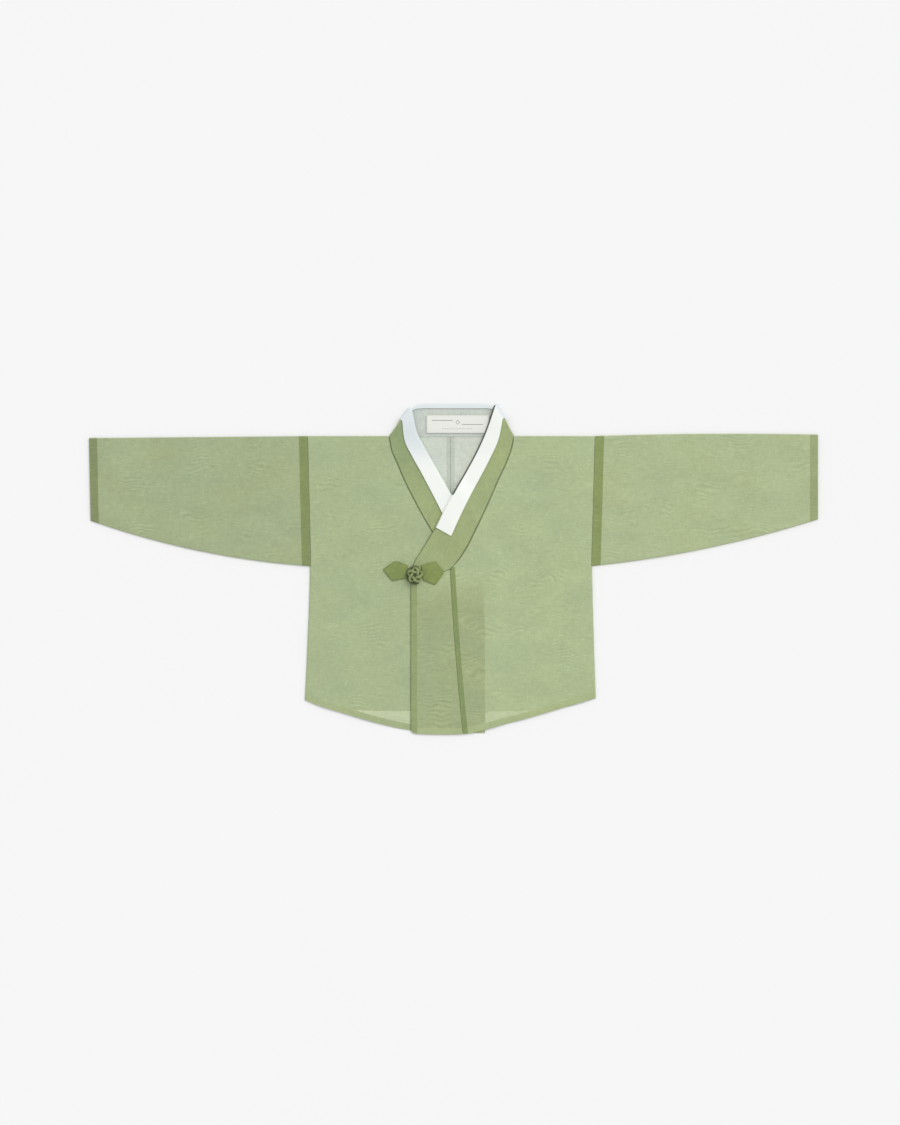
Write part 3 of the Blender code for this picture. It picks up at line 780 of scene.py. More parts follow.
def collar_sheet(name, across_row, striped_only):
    """Right front, back of the neck and left front, joined by two turned folds."""
    sheet = Sheet(name)
    made = []
    start = 0.0
    for band, below, sign in BANDS:
        rows, strips = fine_band(band)
        lengths = start + arc_lengths((rows[:, 0:2] + rows[:, 2:4]) / 2)
        start = lengths[-1]
        kept = strips > 0.0 if striped_only else np.full(len(rows), True)
        grid, flats = [], []
        for row, strip, length in zip(rows[kept], strips[kept], lengths[kept]):
            places, runs = across_row(row, strip, below, sign)
            grid.append(places)
            flats.append(np.column_stack([runs, np.full(len(runs), length)]))
        made.append(sheet.grid(grid, flats, ("outer", "back", "inner")[len(made)]))
    outer, back, inner = made
    sheet.turn(outer[-1], back[0], fold_outward(BACK_BAND[0], 1))
    sheet.turn(inner[0], back[-1], fold_outward(BACK_BAND[-1], -1))
    return sheet


def across_band(row, runs):
    """Places across a band, at runs from its free edge towards its seam."""
    seam, edge = [np.tile(row[first:first + 2], (len(runs), 1)) for first in (0, 2)]
    return toward(edge, seam, runs)


def band_row(row, strip, below, _):
    """Across the collar band, from its free edge to its seam."""
    width = np.linalg.norm(row[2:4] - row[0:2])
    inset = BAND_INSET if strip > 0.0 else 0.0
    first = strip or width / 2
    runs = np.concatenate([np.linspace(inset, first, 7)[:-1], np.linspace(first, width - SEAM_GAP, 10)])
    return laid([across_band(row, runs)], below)[0], runs


def git_numbers(x, y, layer):
    bare_edge = curve_through(edge_points(RIGHT_BAND)[:BARE_ROWS + 1])[0]
    strip_border = strip_outline(LEFT_BAND)[STRIPED_ROWS:]
    # painted shadow lines along both seams, the outer band's bare free edge and the white strip's far border
    outer = np.minimum(distance_to_line(x, y, seam_right),
                       distance_to_line(x, y, bare_edge) + THIN)
    inner = np.minimum(distance_to_line(x, y, seam_left),
                       distance_to_line(x, y, strip_border) + THINNEST)
    # and painted shade on the inner band, growing upwards
    return {"ditch": np.where(layer == "outer", outer, np.where(layer == "inner", inner, FAR)),
            "shade": np.where(layer == "inner", soft_step((y - COLLAR_SHADE_Y) / COLLAR_SHADE_RUN), 0.0)}


sheets["git"] = collar_sheet("jeogori_git", band_row, False)
pieces["git"] = sheets["git"].build(git_numbers)

# %% White strip
STRIP_TURN, LEG_POINTS = 8, 7
OPENING_LOW_Y = 74.0            # where the two strips cross
# painted shade on the left leg's upper part grows upwards from here
STRIP_SHADE_Y, STRIP_SHADE_RUN = 96.0, 34.0


def strip_row(row, strip, below, sign):
    """Across the white strip: outer leg, turn round the band's edge, inner leg."""
    axis = STRIP_WRAP + SOLID_WALL / 2
    angles = np.pi * np.arange(1, STRIP_TURN) / STRIP_TURN
    leg = np.linspace(strip, axis, LEG_POINTS)
    runs = np.concatenate([leg, axis - STRIP_WRAP * np.sin(angles), [axis, STRIP_INNER]])
    places = across_band(row, runs)
    height = rest_height(places[:, 0], places[:, 1], below)
    turn_at = toward(row[2:4], row[0:2], axis)
    height[LEG_POINTS:LEG_POINTS + len(angles)] = rest_height(turn_at[:1], turn_at[1:], below)
    rise = STRIP_WRAP * np.concatenate([np.ones(LEG_POINTS), np.cos(angles), -np.ones(2)])
    flat_runs = np.concatenate([leg, axis - np.arange(1, STRIP_TURN) * 0.5, [axis - 4.6, axis - 8.0]])
    return np.column_stack([places, height + sign * rise]), flat_runs


def strip_numbers(x, y, layer):
    edge = curve_through(edge_points(RIGHT_BAND))[0]
    gap = distance_to_line(x, y, edge[edge[:, 1] > OPENING_LOW_Y])
    upper_left = np.where(x < 0.0, soft_step((y - STRIP_SHADE_Y) / STRIP_SHADE_RUN), 0.0)
    # a painted shadow line along the right strip's free edge above the crossing; painted shade on the strip
    # across the back, on its turns at the neck and on the left leg's upper part
    return {"ditch": np.where((layer == "back") | (layer == "inner"), FAR, gap),
            "shade": np.where((layer == "back") | (layer == "turn"), 1.0,
                              np.where(layer == "inner", upper_left, 0.0))}


sheets["dongjeong"] = collar_sheet("jeogori_dongjeong", strip_row, True)
pieces["dongjeong"] = sheets["dongjeong"].build(strip_numbers)
print("collar and strip:", [len(pieces[name].data.polygons) for name in ("git", "dongjeong")], "faces")

# %% [markdown]
# ## The neck label
#
# A small satin label lies on the inside of the collar, under the white strip's right leg. It
# bears no name: only two woven lines, a small lozenge between them and a row of dots.

# %% Label
def label_numbers(x, y, _):
    edge = np.minimum.reduce([x - LABEL_BOX[0], LABEL_BOX[2] - x, y - LABEL_BOX[1], LABEL_BOX[3] - y])
    return {"allowance": edge / 1.2}


def label_sheet():
    sheet = Sheet("jeogori_neck_label")
    rows = []
    for y in np.linspace(LABEL_BOX[1], LABEL_BOX[3], 12):
        x = np.linspace(LABEL_BOX[0], LABEL_BOX[2], 32)
        rows.append(np.column_stack([x, np.full(len(x), y)]))
    middle = [row - np.array([(LABEL_BOX[0] + LABEL_BOX[2]) / 2, (LABEL_BOX[1] + LABEL_BOX[3]) / 2])
              for row in rows]
    sheet.grid(laid(rows, BELOW_COLLAR_BACK, PLY), middle, "front")
    return sheet


sheets["neck_label"] = label_sheet()
pieces["neck_label"] = sheets["neck_label"].build(label_numbers)

# %% [markdown]
# ## Tabs
#
# The knot and its loop are held by two small folded patches of dark cloth, each pressed into
# five corners. A patch is built from rings that shrink towards its middle, so its edge can be
# rounded like a real fold; one pressed line crosses it.

# %% Tabs
TABS = {
    "tab_left": {"outline": ((-46.0, -9.5), (-61.7, -12.5), (-70.7, -1.0), (-58.3, 7.8), (-46.0, 3.5)),
                 "below": BELOW_OUTER, "fold": ((-56.8, -12.5), (-56.0, 7.8))},
    "tab_right": {"outline": ((-32.5, 3.5), (-17.8, 6.9), (-9.2, -3.8), (-18.3, -16.5), (-30.5, -11.9)),
                  "below": BELOW_KNOT, "fold": ((-22.6, 6.9), (-23.4, -16.5))},
}
TAB_WALL = 1.0
TAB_CORNER = 1.6
TAB_MARGIN = 1.5
TAB_PROFILE = (
    # size of a ring and its height, from the middle of the underside to the middle of the top
    (0.1, 0.0), (0.5, 0.0), (0.985, 0.0), (1.0, 0.35), (1.0, 0.62), (0.975, 0.9), (0.93, 1.02),
    (0.8, 1.0), (0.62, 1.0), (0.44, 1.0), (0.26, 1.0), (0.1, 1.0),
)


def rounded_corners(outline, radius, steps=4):
    """The outline with each corner cut by a short curve."""
    made = []
    for index, corner in enumerate(outline):
        before = toward(corner, outline[index - 1], radius)
        after = toward(corner, outline[(index + 1) % len(outline)], radius)
        for step in range(steps + 1):
            share = step / steps
            inner = before * (1 - share) ** 2 + np.array(corner) * 2 * share * (1 - share)
            made.append(tuple(inner + after * share ** 2))
    return made


def join_rings(bm, ring, after, shift=0):
    """Faces between two rings, the second one turned by some places."""
    count = len(ring)
    for index in range(count):
        bm.faces.new((ring[index - 1], ring[index], after[(index + shift) % count],
                      after[(index - 1 + shift) % count]))


def closed_mesh(name, bm):
    bmesh.ops.recalc_face_normals(bm, faces=bm.faces)
    mesh = bpy.data.meshes.new(name)
    bm.to_mesh(mesh)
    bm.free()
    mesh.shade_smooth()
    return mesh


def tab_piece(name, outline, below, fold):
    line = np.array(rounded_corners(outline, TAB_CORNER))
    middle = np.array(outline).mean(axis=0)
    base = float(np.max(rest_height(*np.array(outline).T, below))) - TAB_WALL / 2
    rings = []
    for size, height in TAB_PROFILE:
        ring = middle + (line - middle) * size
        crease = distance_to_line(*ring.T, fold)
        pressed = 0.22 * np.exp(-(crease / 0.8) ** 2) * (height > 0.9)
        rings.append(np.column_stack([ring, base + TAB_WALL * height - pressed + lift(*ring.T)]))
    bm = bmesh.new()
    rows = [[bm.verts.new(Vector(place) * MM) for place in ring] for ring in rings]
    for row, after in zip(rows, rows[1:]):
        join_rings(bm, row, after)
    bm.faces.new(rows[0][::-1])
    bm.faces.new(rows[-1])
    mesh = closed_mesh(name, bm)
    places = np.vstack(rings)[:, :2]
    # the pressed fold takes a painted shade line
    store_cut(mesh, {"allowance": distance_to_line(*places.T, line, closed=True) / TAB_MARGIN,
                     "ditch": distance_to_line(*places.T, fold)}, places)
    return placed(name, mesh)


for name, tab in TABS.items():
    pieces[name] = tab_piece("jeogori_" + name, tab["outline"], tab["below"], tab["fold"])

# %% [markdown]
# ## The knot and its loop
#
# The button is a ball knotted from one cord (maedeup). A simpler winding stands in for that
# knot: the cord goes four times round the ball and swings up and down five times. Above and
# below the waist its turns pass each other at slightly different depths; on the waist they
# meet at the same depth. A small core fills the middle. The loop is a thinner cord round the
# knot's foot, and both cords have a fine twist in their material. The cord takes painted shade
# where it lies deep between its turns and on the core, and the whole loop is painted darker,
# as a painted shadow round the knot's foot.

# %% A cord along a line
def cord_mesh(bm, line, radius, sides, closed):
    """A round cord along a line of points in millimetres; its thread coordinate runs along it."""
    line = [Vector(point) for point in line]
    count = len(line)
    rows, lengths = [], [0.0]
    side = None
    for index, point in enumerate(line):
        before = line[index - 1] if closed or index else point
        after = line[(index + 1) % count] if closed or index < count - 1 else point
        run = (after - before).normalized()
        side = run.cross(Vector((0, 0, 1))) if side is None else side - run * side.dot(run)
        side.normalize()
        other = run.cross(side)
        ring = []
        for step in range(sides):
            angle = math.tau * step / sides
            away = (side * math.cos(angle) + other * math.sin(angle)) * radius
            ring.append(bm.verts.new((point + away) * MM))
        rows.append(ring)
        lengths.append(lengths[-1] + (after - point).length)
    for row, after in zip(rows, rows[1:]):
        join_rings(bm, row, after)
    if closed:
        first, last = rows[0], rows[-1]
        nearest = min(range(sides), key=lambda shift: (first[shift].co - last[0].co).length)
        join_rings(bm, last, first, nearest)
    else:
        bm.faces.new(rows[0])
        bm.faces.new(rows[-1])
    return [(lengths[number] * MM, step / sides, 0.0) for number in range(count) for step in range(sides)]


def cord_object(name, bm, threads, depth):
    mesh = closed_mesh(name, bm)
    store(mesh, "thread", threads, "FLOAT_VECTOR", "vector")
    # painted shade: darker where a place lies deep in the knot
    store(mesh, "shade", [depth(vertex.co / MM) for vertex in mesh.vertices])
    piece = placed(name, mesh)
    print(name, "cord", round(max(thread[0] for thread in threads), 3), "m")
    return piece


# %% Knot and loop
KNOT_LOW, KNOT_HIGH = [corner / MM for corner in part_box("knot_button")]
KNOT_MIDDLE = (KNOT_LOW + KNOT_HIGH) / 2
KNOT_CORD = 1.6
KNOT_SPREAD = (KNOT_HIGH.x - KNOT_LOW.x) / 2 - KNOT_CORD - 0.3
KNOT_RISE = (KNOT_HIGH.z - KNOT_LOW.z) / 2 - KNOT_CORD - 0.3
WINDINGS, SWINGS = 4, 5
KNOT_STEPS = 480
KNOT_START = 0.35
SWING_ANGLE = math.radians(66)
CROSSING = 0.13                 # share by which the cord swings out and in on its way
LOOP_RADIUS = 8.2
LOOP_STEPS = 60


def knot_line():
    line = []
    for step in range(KNOT_STEPS):
        turn = math.tau * step / KNOT_STEPS
        azimuth = WINDINGS * turn + KNOT_START
        height = SWING_ANGLE * math.cos(SWINGS * turn)
        over = 1.0 + CROSSING * math.sin(2 * SWINGS * turn)
        spread = KNOT_SPREAD * over * math.cos(height)
        line.append((KNOT_MIDDLE.x + spread * math.cos(azimuth), KNOT_MIDDLE.y + spread * math.sin(azimuth),
                     KNOT_MIDDLE.z + KNOT_RISE * over * math.sin(height)))
    return line


def knot_piece():
    bm = bmesh.new()
    threads = cord_mesh(bm, knot_line(), KNOT_CORD, 12, True)
    core = bmesh.ops.create_uvsphere(bm, u_segments=20, v_segments=12, radius=1.0)["verts"]
    size = Vector((KNOT_SPREAD + 0.4, KNOT_SPREAD + 0.4, KNOT_RISE + 0.9)) * MM
    bmesh.ops.scale(bm, vec=size, verts=core)
    bmesh.ops.translate(bm, vec=KNOT_MIDDLE * MM, verts=core)

    def depth(place):
        """How much painted shade a place takes: 0 on the outside of the ball, 1 deep between its cords."""
        away = place - KNOT_MIDDLE
        flat = math.hypot(away.x, away.y) / (KNOT_SPREAD + KNOT_CORD)
        level = math.hypot(flat, away.z / (KNOT_RISE + KNOT_CORD))
        return float(soft_step((0.985 - level) / 0.17))

    return cord_object("jeogori_knot", bm, threads + [(0.0, 0.0, 0.0)] * len(core), depth)


def loop_piece():
    low, high = [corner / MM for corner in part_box("button_loop")]
    radius = (high.z - low.z) / 2
    line = []
    for step in range(LOOP_STEPS + 1):
        angle = math.radians(66 + 228 * step / LOOP_STEPS)
        line.append((KNOT_MIDDLE.x + LOOP_RADIUS * math.cos(angle),
                     KNOT_MIDDLE.y + LOOP_RADIUS * math.sin(angle),
                     (low.z + high.z) / 2 + lift(KNOT_MIDDLE.x, KNOT_MIDDLE.y)))
    bm = bmesh.new()
    # the whole loop takes painted shade, for its shadow round the knot's foot
    return cord_object("jeogori_loop", bm, cord_mesh(bm, line, radius, 10, False), lambda place: 0.6)


pieces["knot_button"] = knot_piece()
pieces["button_loop"] = loop_piece()
print("knot:", len(pieces["knot_button"].data.polygons), "faces")

# %% [markdown]
# ## Stitches
#
# Hand stitches repeat at a set pitch, so Geometry Nodes lay them: the line is resampled at the
# pitch, one small stitch goes on each point along the line, and a seeded change of size keeps
# them from looking machine-made. The tree has named inputs, so any line can use it.

# %% Stitch tree
def stitch_tree():
    tree = bpy.data.node_groups.new("hand_stitches", "GeometryNodeTree")
    sockets = (("Geometry", "INPUT", "Geometry"), ("Pitch", "INPUT", "Float"),
               ("Length", "INPUT", "Float"), ("Thickness", "INPUT", "Float"),
               ("Material", "INPUT", "Material"), ("Geometry", "OUTPUT", "Geometry"))
    for name, way, kind in sockets:
        tree.interface.new_socket(name, in_out=way, socket_type="NodeSocket" + kind)
    new = tree.nodes.new
    given, result = new("NodeGroupInput"), new("NodeGroupOutput")
    curve, resample = new("GeometryNodeMeshToCurve"), new("GeometryNodeResampleCurve")
    resample.mode = "LENGTH"
    tangent, align = new("GeometryNodeInputTangent"), new("FunctionNodeAlignRotationToVector")
    align.axis = "X"
    stitch = new("GeometryNodeMeshIcoSphere")
    stitch.inputs["Subdivisions"].default_value = 2
    stitch.inputs["Radius"].default_value = 0.5
    size = new("ShaderNodeCombineXYZ")
    vary = new("FunctionNodeRandomValue")
    vary.data_type = "FLOAT"
    vary.inputs[2].default_value = 0.85
    vary.inputs[3].default_value = 1.1
    vary.inputs["Seed"].default_value = 7
    scale = new("ShaderNodeVectorMath")
    scale.operation = "SCALE"
    place = new("GeometryNodeInstanceOnPoints")
    real, paint = new("GeometryNodeRealizeInstances"), new("GeometryNodeSetMaterial")
    links = (
        (given, "Geometry", curve, "Mesh"), (curve, "Curve", resample, "Curve"),
        (given, "Pitch", resample, "Length"), (resample, "Curve", place, "Points"),
        (stitch, "Mesh", place, "Instance"), (tangent, "Tangent", align, "Vector"),
        (align, "Rotation", place, "Rotation"), (given, "Length", size, "X"),
        (given, "Thickness", size, "Y"), (given, "Thickness", size, "Z"), (size, "Vector", scale, 0),
        (vary, 1, scale, "Scale"), (scale, "Vector", place, "Scale"),
        (place, "Instances", real, "Geometry"), (real, "Geometry", paint, "Geometry"),
        (given, "Material", paint, "Material"), (paint, "Geometry", result, "Geometry"),
    )
    for source, output, target, socket in links:
        tree.links.new(source.outputs[output], target.inputs[socket])
    return tree


STITCHES = stitch_tree()


def stitched(name, lines, pitch, length, thickness, material):
    """Stitches along lines of places, as one plain mesh."""
    mesh = bpy.data.meshes.new(name)
    places, edges = [], []
    for line in lines:
        first = len(places)
        places.extend([tuple(np.array(point) * MM) for point in line])
        edges.extend([(first + index, first + index + 1) for index in range(len(line) - 1)])
    mesh.from_pydata(places, edges, [])
    piece = placed(name, mesh)
    live = piece.modifiers.new("stitches", "NODES")
    live.node_group = STITCHES
    inputs = {item.name: item.identifier for item in STITCHES.interface.items_tree
              if item.item_type == "SOCKET" and item.in_out == "INPUT"}
    live[inputs["Pitch"]] = pitch * MM
    live[inputs["Length"]] = length * MM
    live[inputs["Thickness"]] = thickness * MM
    live[inputs["Material"]] = material
    applied(piece)
    return piece


# %% [markdown]
# ## Cloth that shows its layers
#
# The gauze is sheer: where more layers lie on each other it looks darker and greener. Tracing
# light through six thin layers would be slow and grainy, so the material works it out instead.
# It counts the layers under a place from the distances on the sheet, picks the tone for that
# count, and darkens the turned-in margins. Along each seam and free edge it paints a dark line
# that stands for the shadow there. Slubs, a cloudy tone and faint ripples, which sheer layers
# make when their threads cross, are added on top.

# %% Node helpers
def linear(*levels):
    """A colour in screen levels, 0 to 255, as the linear colour that a shader takes."""
    shares = [level / 255 for level in levels]
    return tuple(share / 12.92 if share < 0.04 else ((share + 0.055) / 1.055) ** 2.4 for share in shares)


class Recipe:
    """A short way to write a node material."""

    def __init__(self, name, roughness, specular=0.25):
        self.material = bpy.data.materials.new(name)
        self.material.use_nodes = True
        self.tree = self.material.node_tree
        self.shader = self.tree.nodes["Principled BSDF"]
        self.shader.inputs["Roughness"].default_value = roughness
        self.shader.inputs["Specular IOR Level"].default_value = specular

    def put(self, socket, value):
        if isinstance(value, bpy.types.NodeSocket):
            self.tree.links.new(value, socket)
        elif isinstance(value, tuple) and len(value) == 3 and socket.type == "RGBA":
            socket.default_value = (*value, 1.0)
        else:
            socket.default_value = value

    def node(self, kind, output, inputs, **settings):
        made = self.tree.nodes.new(kind)
        for setting, value in settings.items():
            setattr(made, setting, value)
        for key, value in inputs.items():
            self.put(made.inputs[key], value)
        return made.outputs[output]

    def attribute(self, name, output="Fac"):
        return self.node("ShaderNodeAttribute", output, {}, attribute_name=name)

    def maths(self, operation, first, second=0.0):
        return self.node("ShaderNodeMath", 0, {0: first, 1: second}, operation=operation)

    def ramp(self, value, low, high, start=0.0, end=1.0):
        keys = {"Value": value, "From Min": low, "From Max": high, "To Min": start, "To Max": end}
        return self.node("ShaderNodeMapRange", 0, keys, clamp=True)

    def mix(self, share, first, second, blend="MIX"):
        keys = {0: share, 6: first, 7: second}
        return self.node("ShaderNodeMix", 2, keys, data_type="RGBA", blend_type=blend)

    def times(self, colour, factor):
        return self.mix(1.0, colour, factor, "MULTIPLY")

    def near(self, attribute, full, gone, strength=1.0):
        """The strength at a small distance from an edge, fading to nothing at a larger one."""
        return self.ramp(self.attribute(attribute), full, gone, strength, 0.0)

    def split(self, vector):
        """The x and the y of a place."""
        outputs = self.node("ShaderNodeSeparateXYZ", 0, {0: vector}).node.outputs
        return outputs["X"], outputs["Y"]

    def away(self, value, middle=0.0):
        """How far a value is from a middle given in millimetres."""
        return self.maths("ABSOLUTE", self.maths("SUBTRACT", value, middle * MM))

    def here(self):
        """Each point's place on its own object."""
        return self.node("ShaderNodeTexCoord", "Object", {})

    def pattern(self, kind, output, vector, x, y, inputs, **settings):
        """A texture that repeats at the given sizes, in millimetres."""
        scale = (1.0 / (x * MM), 1.0 / (y * MM), 1.0)
        sized = self.node("ShaderNodeVectorMath", 0, {0: vector, 1: scale}, operation="MULTIPLY")
        return self.node(kind, output, {"Vector": sized, "Scale": 1.0, **inputs}, **settings)

    def noise(self, vector, x, y, detail=2.0, roughness=0.5):
        inputs = {"Detail": detail, "Roughness": roughness}
        return self.pattern("ShaderNodeTexNoise", 0, vector, x, y, inputs)

    def wave(self, vector, x, y, axis, distortion=0.0):
        inputs = {"Distortion": distortion, "Detail": 2.0}
        return self.pattern("ShaderNodeTexWave", "Fac", vector, x, y, inputs, bands_direction=axis,
                            wave_profile="SIN")

    def tone(self, value, low, high, weakest, strongest):
        """A grey factor that follows a pattern's value."""
        level = self.ramp(value, low, high, weakest, strongest)
        return self.node("ShaderNodeCombineColor", 0, {0: level, 1: level, 2: level})

    def finish(self, colour, height=None, depth=0.1):
        self.put(self.shader.inputs["Base Color"], colour)
        if height is not None:
            keys = {"Height": height, "Distance": depth * MM, "Strength": 1.0}
            self.put(self.shader.inputs["Normal"], self.node("ShaderNodeBump", 0, keys))
        return self.material


def woven(recipe, colour, slub=0.11, cloud=0.05, depth=0.06, sheen=0.0):
    """Finishes a cloth: slubs, a cloudy tone and fine threads over a colour."""
    thread = recipe.attribute("thread", "Vector")
    across = recipe.noise(thread, 7.0, 1.25, 2.0, 0.55)
    upward = recipe.noise(thread, 1.3, 8.0, 2.0, 0.55)
    blotch = recipe.noise(thread, 5.5, 4.5, 3.0, 0.65)
    mottle = recipe.noise(thread, 38.0, 26.0, 3.0, 0.6)
    hue = recipe.noise(thread, 70.0, 52.0)
    tones = (recipe.tone(across, 0.60, 0.70, 1.0, 1 + 1.4 * slub),
             recipe.tone(across, 0.30, 0.40, 1 - slub, 1.0),
             recipe.tone(upward, 0.28, 0.72, 1 - slub / 3, 1 + slub / 3),
             recipe.tone(blotch, 0.3, 0.7, 1 - slub / 2.4, 1 + slub / 2.4),
             recipe.tone(mottle, 0.3, 0.7, 1 - cloud, 1 + cloud))
    for tone in tones:
        colour = recipe.times(colour, tone)
    drift = recipe.mix(recipe.ramp(hue, 0.35, 0.65), (1 - cloud / 3, 1.0, 1 + cloud / 4),
                       (1 + cloud / 4, 1.0, 1 - cloud / 1.5))
    threads = recipe.maths("MULTIPLY", recipe.wave(thread, 1.6, 90.0, "X"),
                           recipe.wave(thread, 90.0, 1.6, "Y"))
    recipe.put(recipe.shader.inputs["Sheen Weight"], sheen)
    return recipe.finish(recipe.times(colour, drift), recipe.maths("ADD", threads, across), depth)


# %% Gauze
INNER_BACK = linear(206, 213, 201)
RIPPLE = 0.08
TURNED_IN = (0.97, 1.03)        # a margin ends where its distance, in shares of its width, is 1


def gauze(name, tones, margin, second):
    """Sheer cloth. tones: one, two and three layers; margin and second: the turned-in edges."""
    recipe = Recipe(name, 0.78)
    thread = recipe.attribute("thread", "Vector")
    beyond = recipe.ramp(recipe.attribute("single"), -0.25, 0.25)
    doubled = recipe.ramp(recipe.attribute("under"), -0.3, 0.3)
    layers = recipe.maths("SUBTRACT", doubled, beyond)
    colour = recipe.mix(recipe.ramp(layers, -1.0, 0.0), tones[0], tones[1])
    colour = recipe.mix(recipe.ramp(layers, 0.0, 1.0), colour, tones[2])
    wobble = recipe.maths("MULTIPLY", recipe.noise(thread, 40.0, 30.0), 0.030)
    bent = recipe.node("ShaderNodeVectorMath", 0, {
        0: thread, 1: recipe.node("ShaderNodeCombineXYZ", 0, {1: wobble})}, operation="ADD")
    bands = recipe.wave(bent, 190.0, 13.5, "Y", 1.4)
    where = recipe.noise(thread, 30.0, 24.0, 1.0)
    patches = recipe.ramp(recipe.maths("ADD", where, recipe.ramp(layers, 0.0, 1.0, 0.0, 0.08)), 0.55, 0.70)
    amount = recipe.maths("MULTIPLY", patches, recipe.ramp(layers, -1.0, 0.0, 0.1, 1.0))
    rippled = recipe.times(colour, recipe.tone(bands, 0.0, 1.0, 1 - RIPPLE, 1 + RIPPLE))
    colour = recipe.mix(amount, colour, rippled)
    in_margin, in_second = [recipe.near(edge, *TURNED_IN) for edge in ("allowance", "second")]
    colour = recipe.mix(in_margin, colour, recipe.times(tones[1], margin))
    colour = recipe.mix(in_second, colour, recipe.times(tones[1], second))
    # a painted shadow line along seams and free edges
    colour = recipe.mix(recipe.near("ditch", 0.3, 0.9, 0.7), colour, linear(70, 88, 38))
    lining = recipe.mix(in_second, INNER_BACK, recipe.times(INNER_BACK, (0.84, 0.86, 0.84)))
    colour = recipe.mix(recipe.attribute("inside"), colour, lining)
    recipe.put(recipe.shader.inputs["Sheen Roughness"], 0.4)
    return woven(recipe, colour, sheen=0.08)


BODY_TONES = {
    "left": (linear(193, 203, 165), linear(168, 181, 141), linear(159, 171, 129)),
    "right": (linear(188, 198, 159), linear(172, 185, 144), linear(160, 171, 129)),
}
SLEEVE_TONES = {"left": linear(162, 174, 136), "right": linear(172, 184, 143)}
HEM_TINT = (0.965, 0.955, 0.88)
EDGE_TINT = (0.70, 0.72, 0.57)          # free edge of the overlap panel
SEOP_TINT = (0.56, 0.60, 0.42)          # seam of the overlap panel
ARMHOLE_TINTS = {"left": (0.64, 0.66, 0.46), "right": (0.61, 0.64, 0.42)}
CUFF_TINTS = {"left": (0.645, 0.65, 0.53), "right": (0.77, 0.77, 0.68)}

for name, side_name, second in (("gil_left", "left", SEOP_TINT), ("gil_right", "right", SEOP_TINT),
                                ("seop", "right", EDGE_TINT)):
    body_gauze = gauze("green_gauze_" + name, BODY_TONES[side_name], HEM_TINT, second)
    pieces[name].data.materials.append(body_gauze)
for side_name in SIDES:
    sleeve_gauze = gauze("green_gauze_sleeve_" + side_name, (SLEEVE_TONES[side_name],) * 3,
                         ARMHOLE_TINTS[side_name], CUFF_TINTS[side_name])
    pieces["sleeve_" + side_name].data.materials.append(sleeve_gauze)

# %% [markdown]
# ## Collar cloth, white strip, label and cord
#
# The collar band is stiffened inside, so it is denser and a little greener than the body. The
# white strip is smooth starched cloth over paper, with only a trace of weave. The label is a
# cream satin, and the knot is a tightly rolled cord of the same green cloth.

# %% The other cloths
def collar_cloth():
    recipe = Recipe("collar_gauze", 0.76)
    # painted shade darkens the inner band's upper part
    colour = recipe.mix(recipe.attribute("shade"), linear(160, 172, 124), linear(148, 164, 120))
    colour = recipe.mix(recipe.attribute("inside"), colour, linear(200, 207, 199))
    # a painted shadow line along the seams and edges
    colour = recipe.mix(recipe.near("ditch", 0.3, 1.0, 0.8), colour, linear(62, 78, 32))
    return woven(recipe, colour, 0.10, 0.06, sheen=0.06)


def white_cloth():
    recipe = Recipe("white_strip", 0.6)
    # gap: a painted shadow along the right strip's free edge, on the fold's upper half
    upper_half = recipe.ramp(recipe.split(recipe.attribute("thread", "Vector"))[0], -0.7 * MM, -0.2 * MM)
    gap = recipe.maths("MULTIPLY", upper_half, recipe.near("ditch", 1.3, 2.0, 0.95))
    # painted shade on the strip across the back, on its turns and on the left leg's top
    colour = recipe.mix(recipe.attribute("shade"), linear(241, 244, 239), linear(221, 228, 230))
    return woven(recipe, recipe.mix(gap, colour, linear(38, 44, 32)), 0.012, 0.01, 0.02)


LABEL_LINES = ((-15.5, 3.6), (14.5, -0.4))         # middles of the two woven lines
LINE_REACH = 10.6               # half their length
LOZENGE_Y, LOZENGE_REACH = 1.7, 2.0
DOTS_Y, DOT_PITCH, DOTS_REACH = -4.6, 2.2, 15.8


def label_cloth():
    recipe = Recipe("label_weave", 0.45, 0.5)
    across, upward = recipe.split(recipe.attribute("thread", "Vector"))

    def drawn(colour, gap, reach, line, strength, ink):
        """A woven mark: full up to one gap from its middle, gone at the next, within its reach."""
        mark = recipe.ramp(gap, line[0] * MM, line[1] * MM, strength, 0.0)
        return recipe.mix(recipe.maths("MULTIPLY", mark, reach), colour, linear(*ink))

    colour = linear(230, 231, 224)
    for middle_x, middle_y in LABEL_LINES:
        reach = recipe.ramp(recipe.away(across, middle_x), (LINE_REACH - 0.3) * MM, LINE_REACH * MM, 1.0, 0.0)
        colour = drawn(colour, recipe.away(upward, middle_y), reach, (0.2, 0.45), 0.75, (70, 72, 66))
    corner = recipe.maths("ADD", recipe.away(across), recipe.away(upward, LOZENGE_Y))
    colour = drawn(colour, recipe.away(corner, LOZENGE_REACH), 1.0, (0.3, 0.6), 0.6, (84, 86, 80))
    dots = recipe.maths("SINE", recipe.maths("MULTIPLY", across, math.tau / (DOT_PITCH * MM)))
    reach = recipe.ramp(recipe.away(across), (DOTS_REACH - 0.4) * MM, DOTS_REACH * MM, 1.0, 0.0)
    reach = recipe.maths("MULTIPLY", recipe.ramp(dots, 0.1, 0.5), reach)
    colour = drawn(colour, recipe.away(upward, DOTS_Y), reach, (0.25, 0.6), 0.6, (110, 112, 104))
    colour = recipe.mix(recipe.near("allowance", 0.9, 1.1, 0.35), colour, linear(196, 198, 190))
    return woven(recipe, colour, 0.02, 0.01, 0.03)


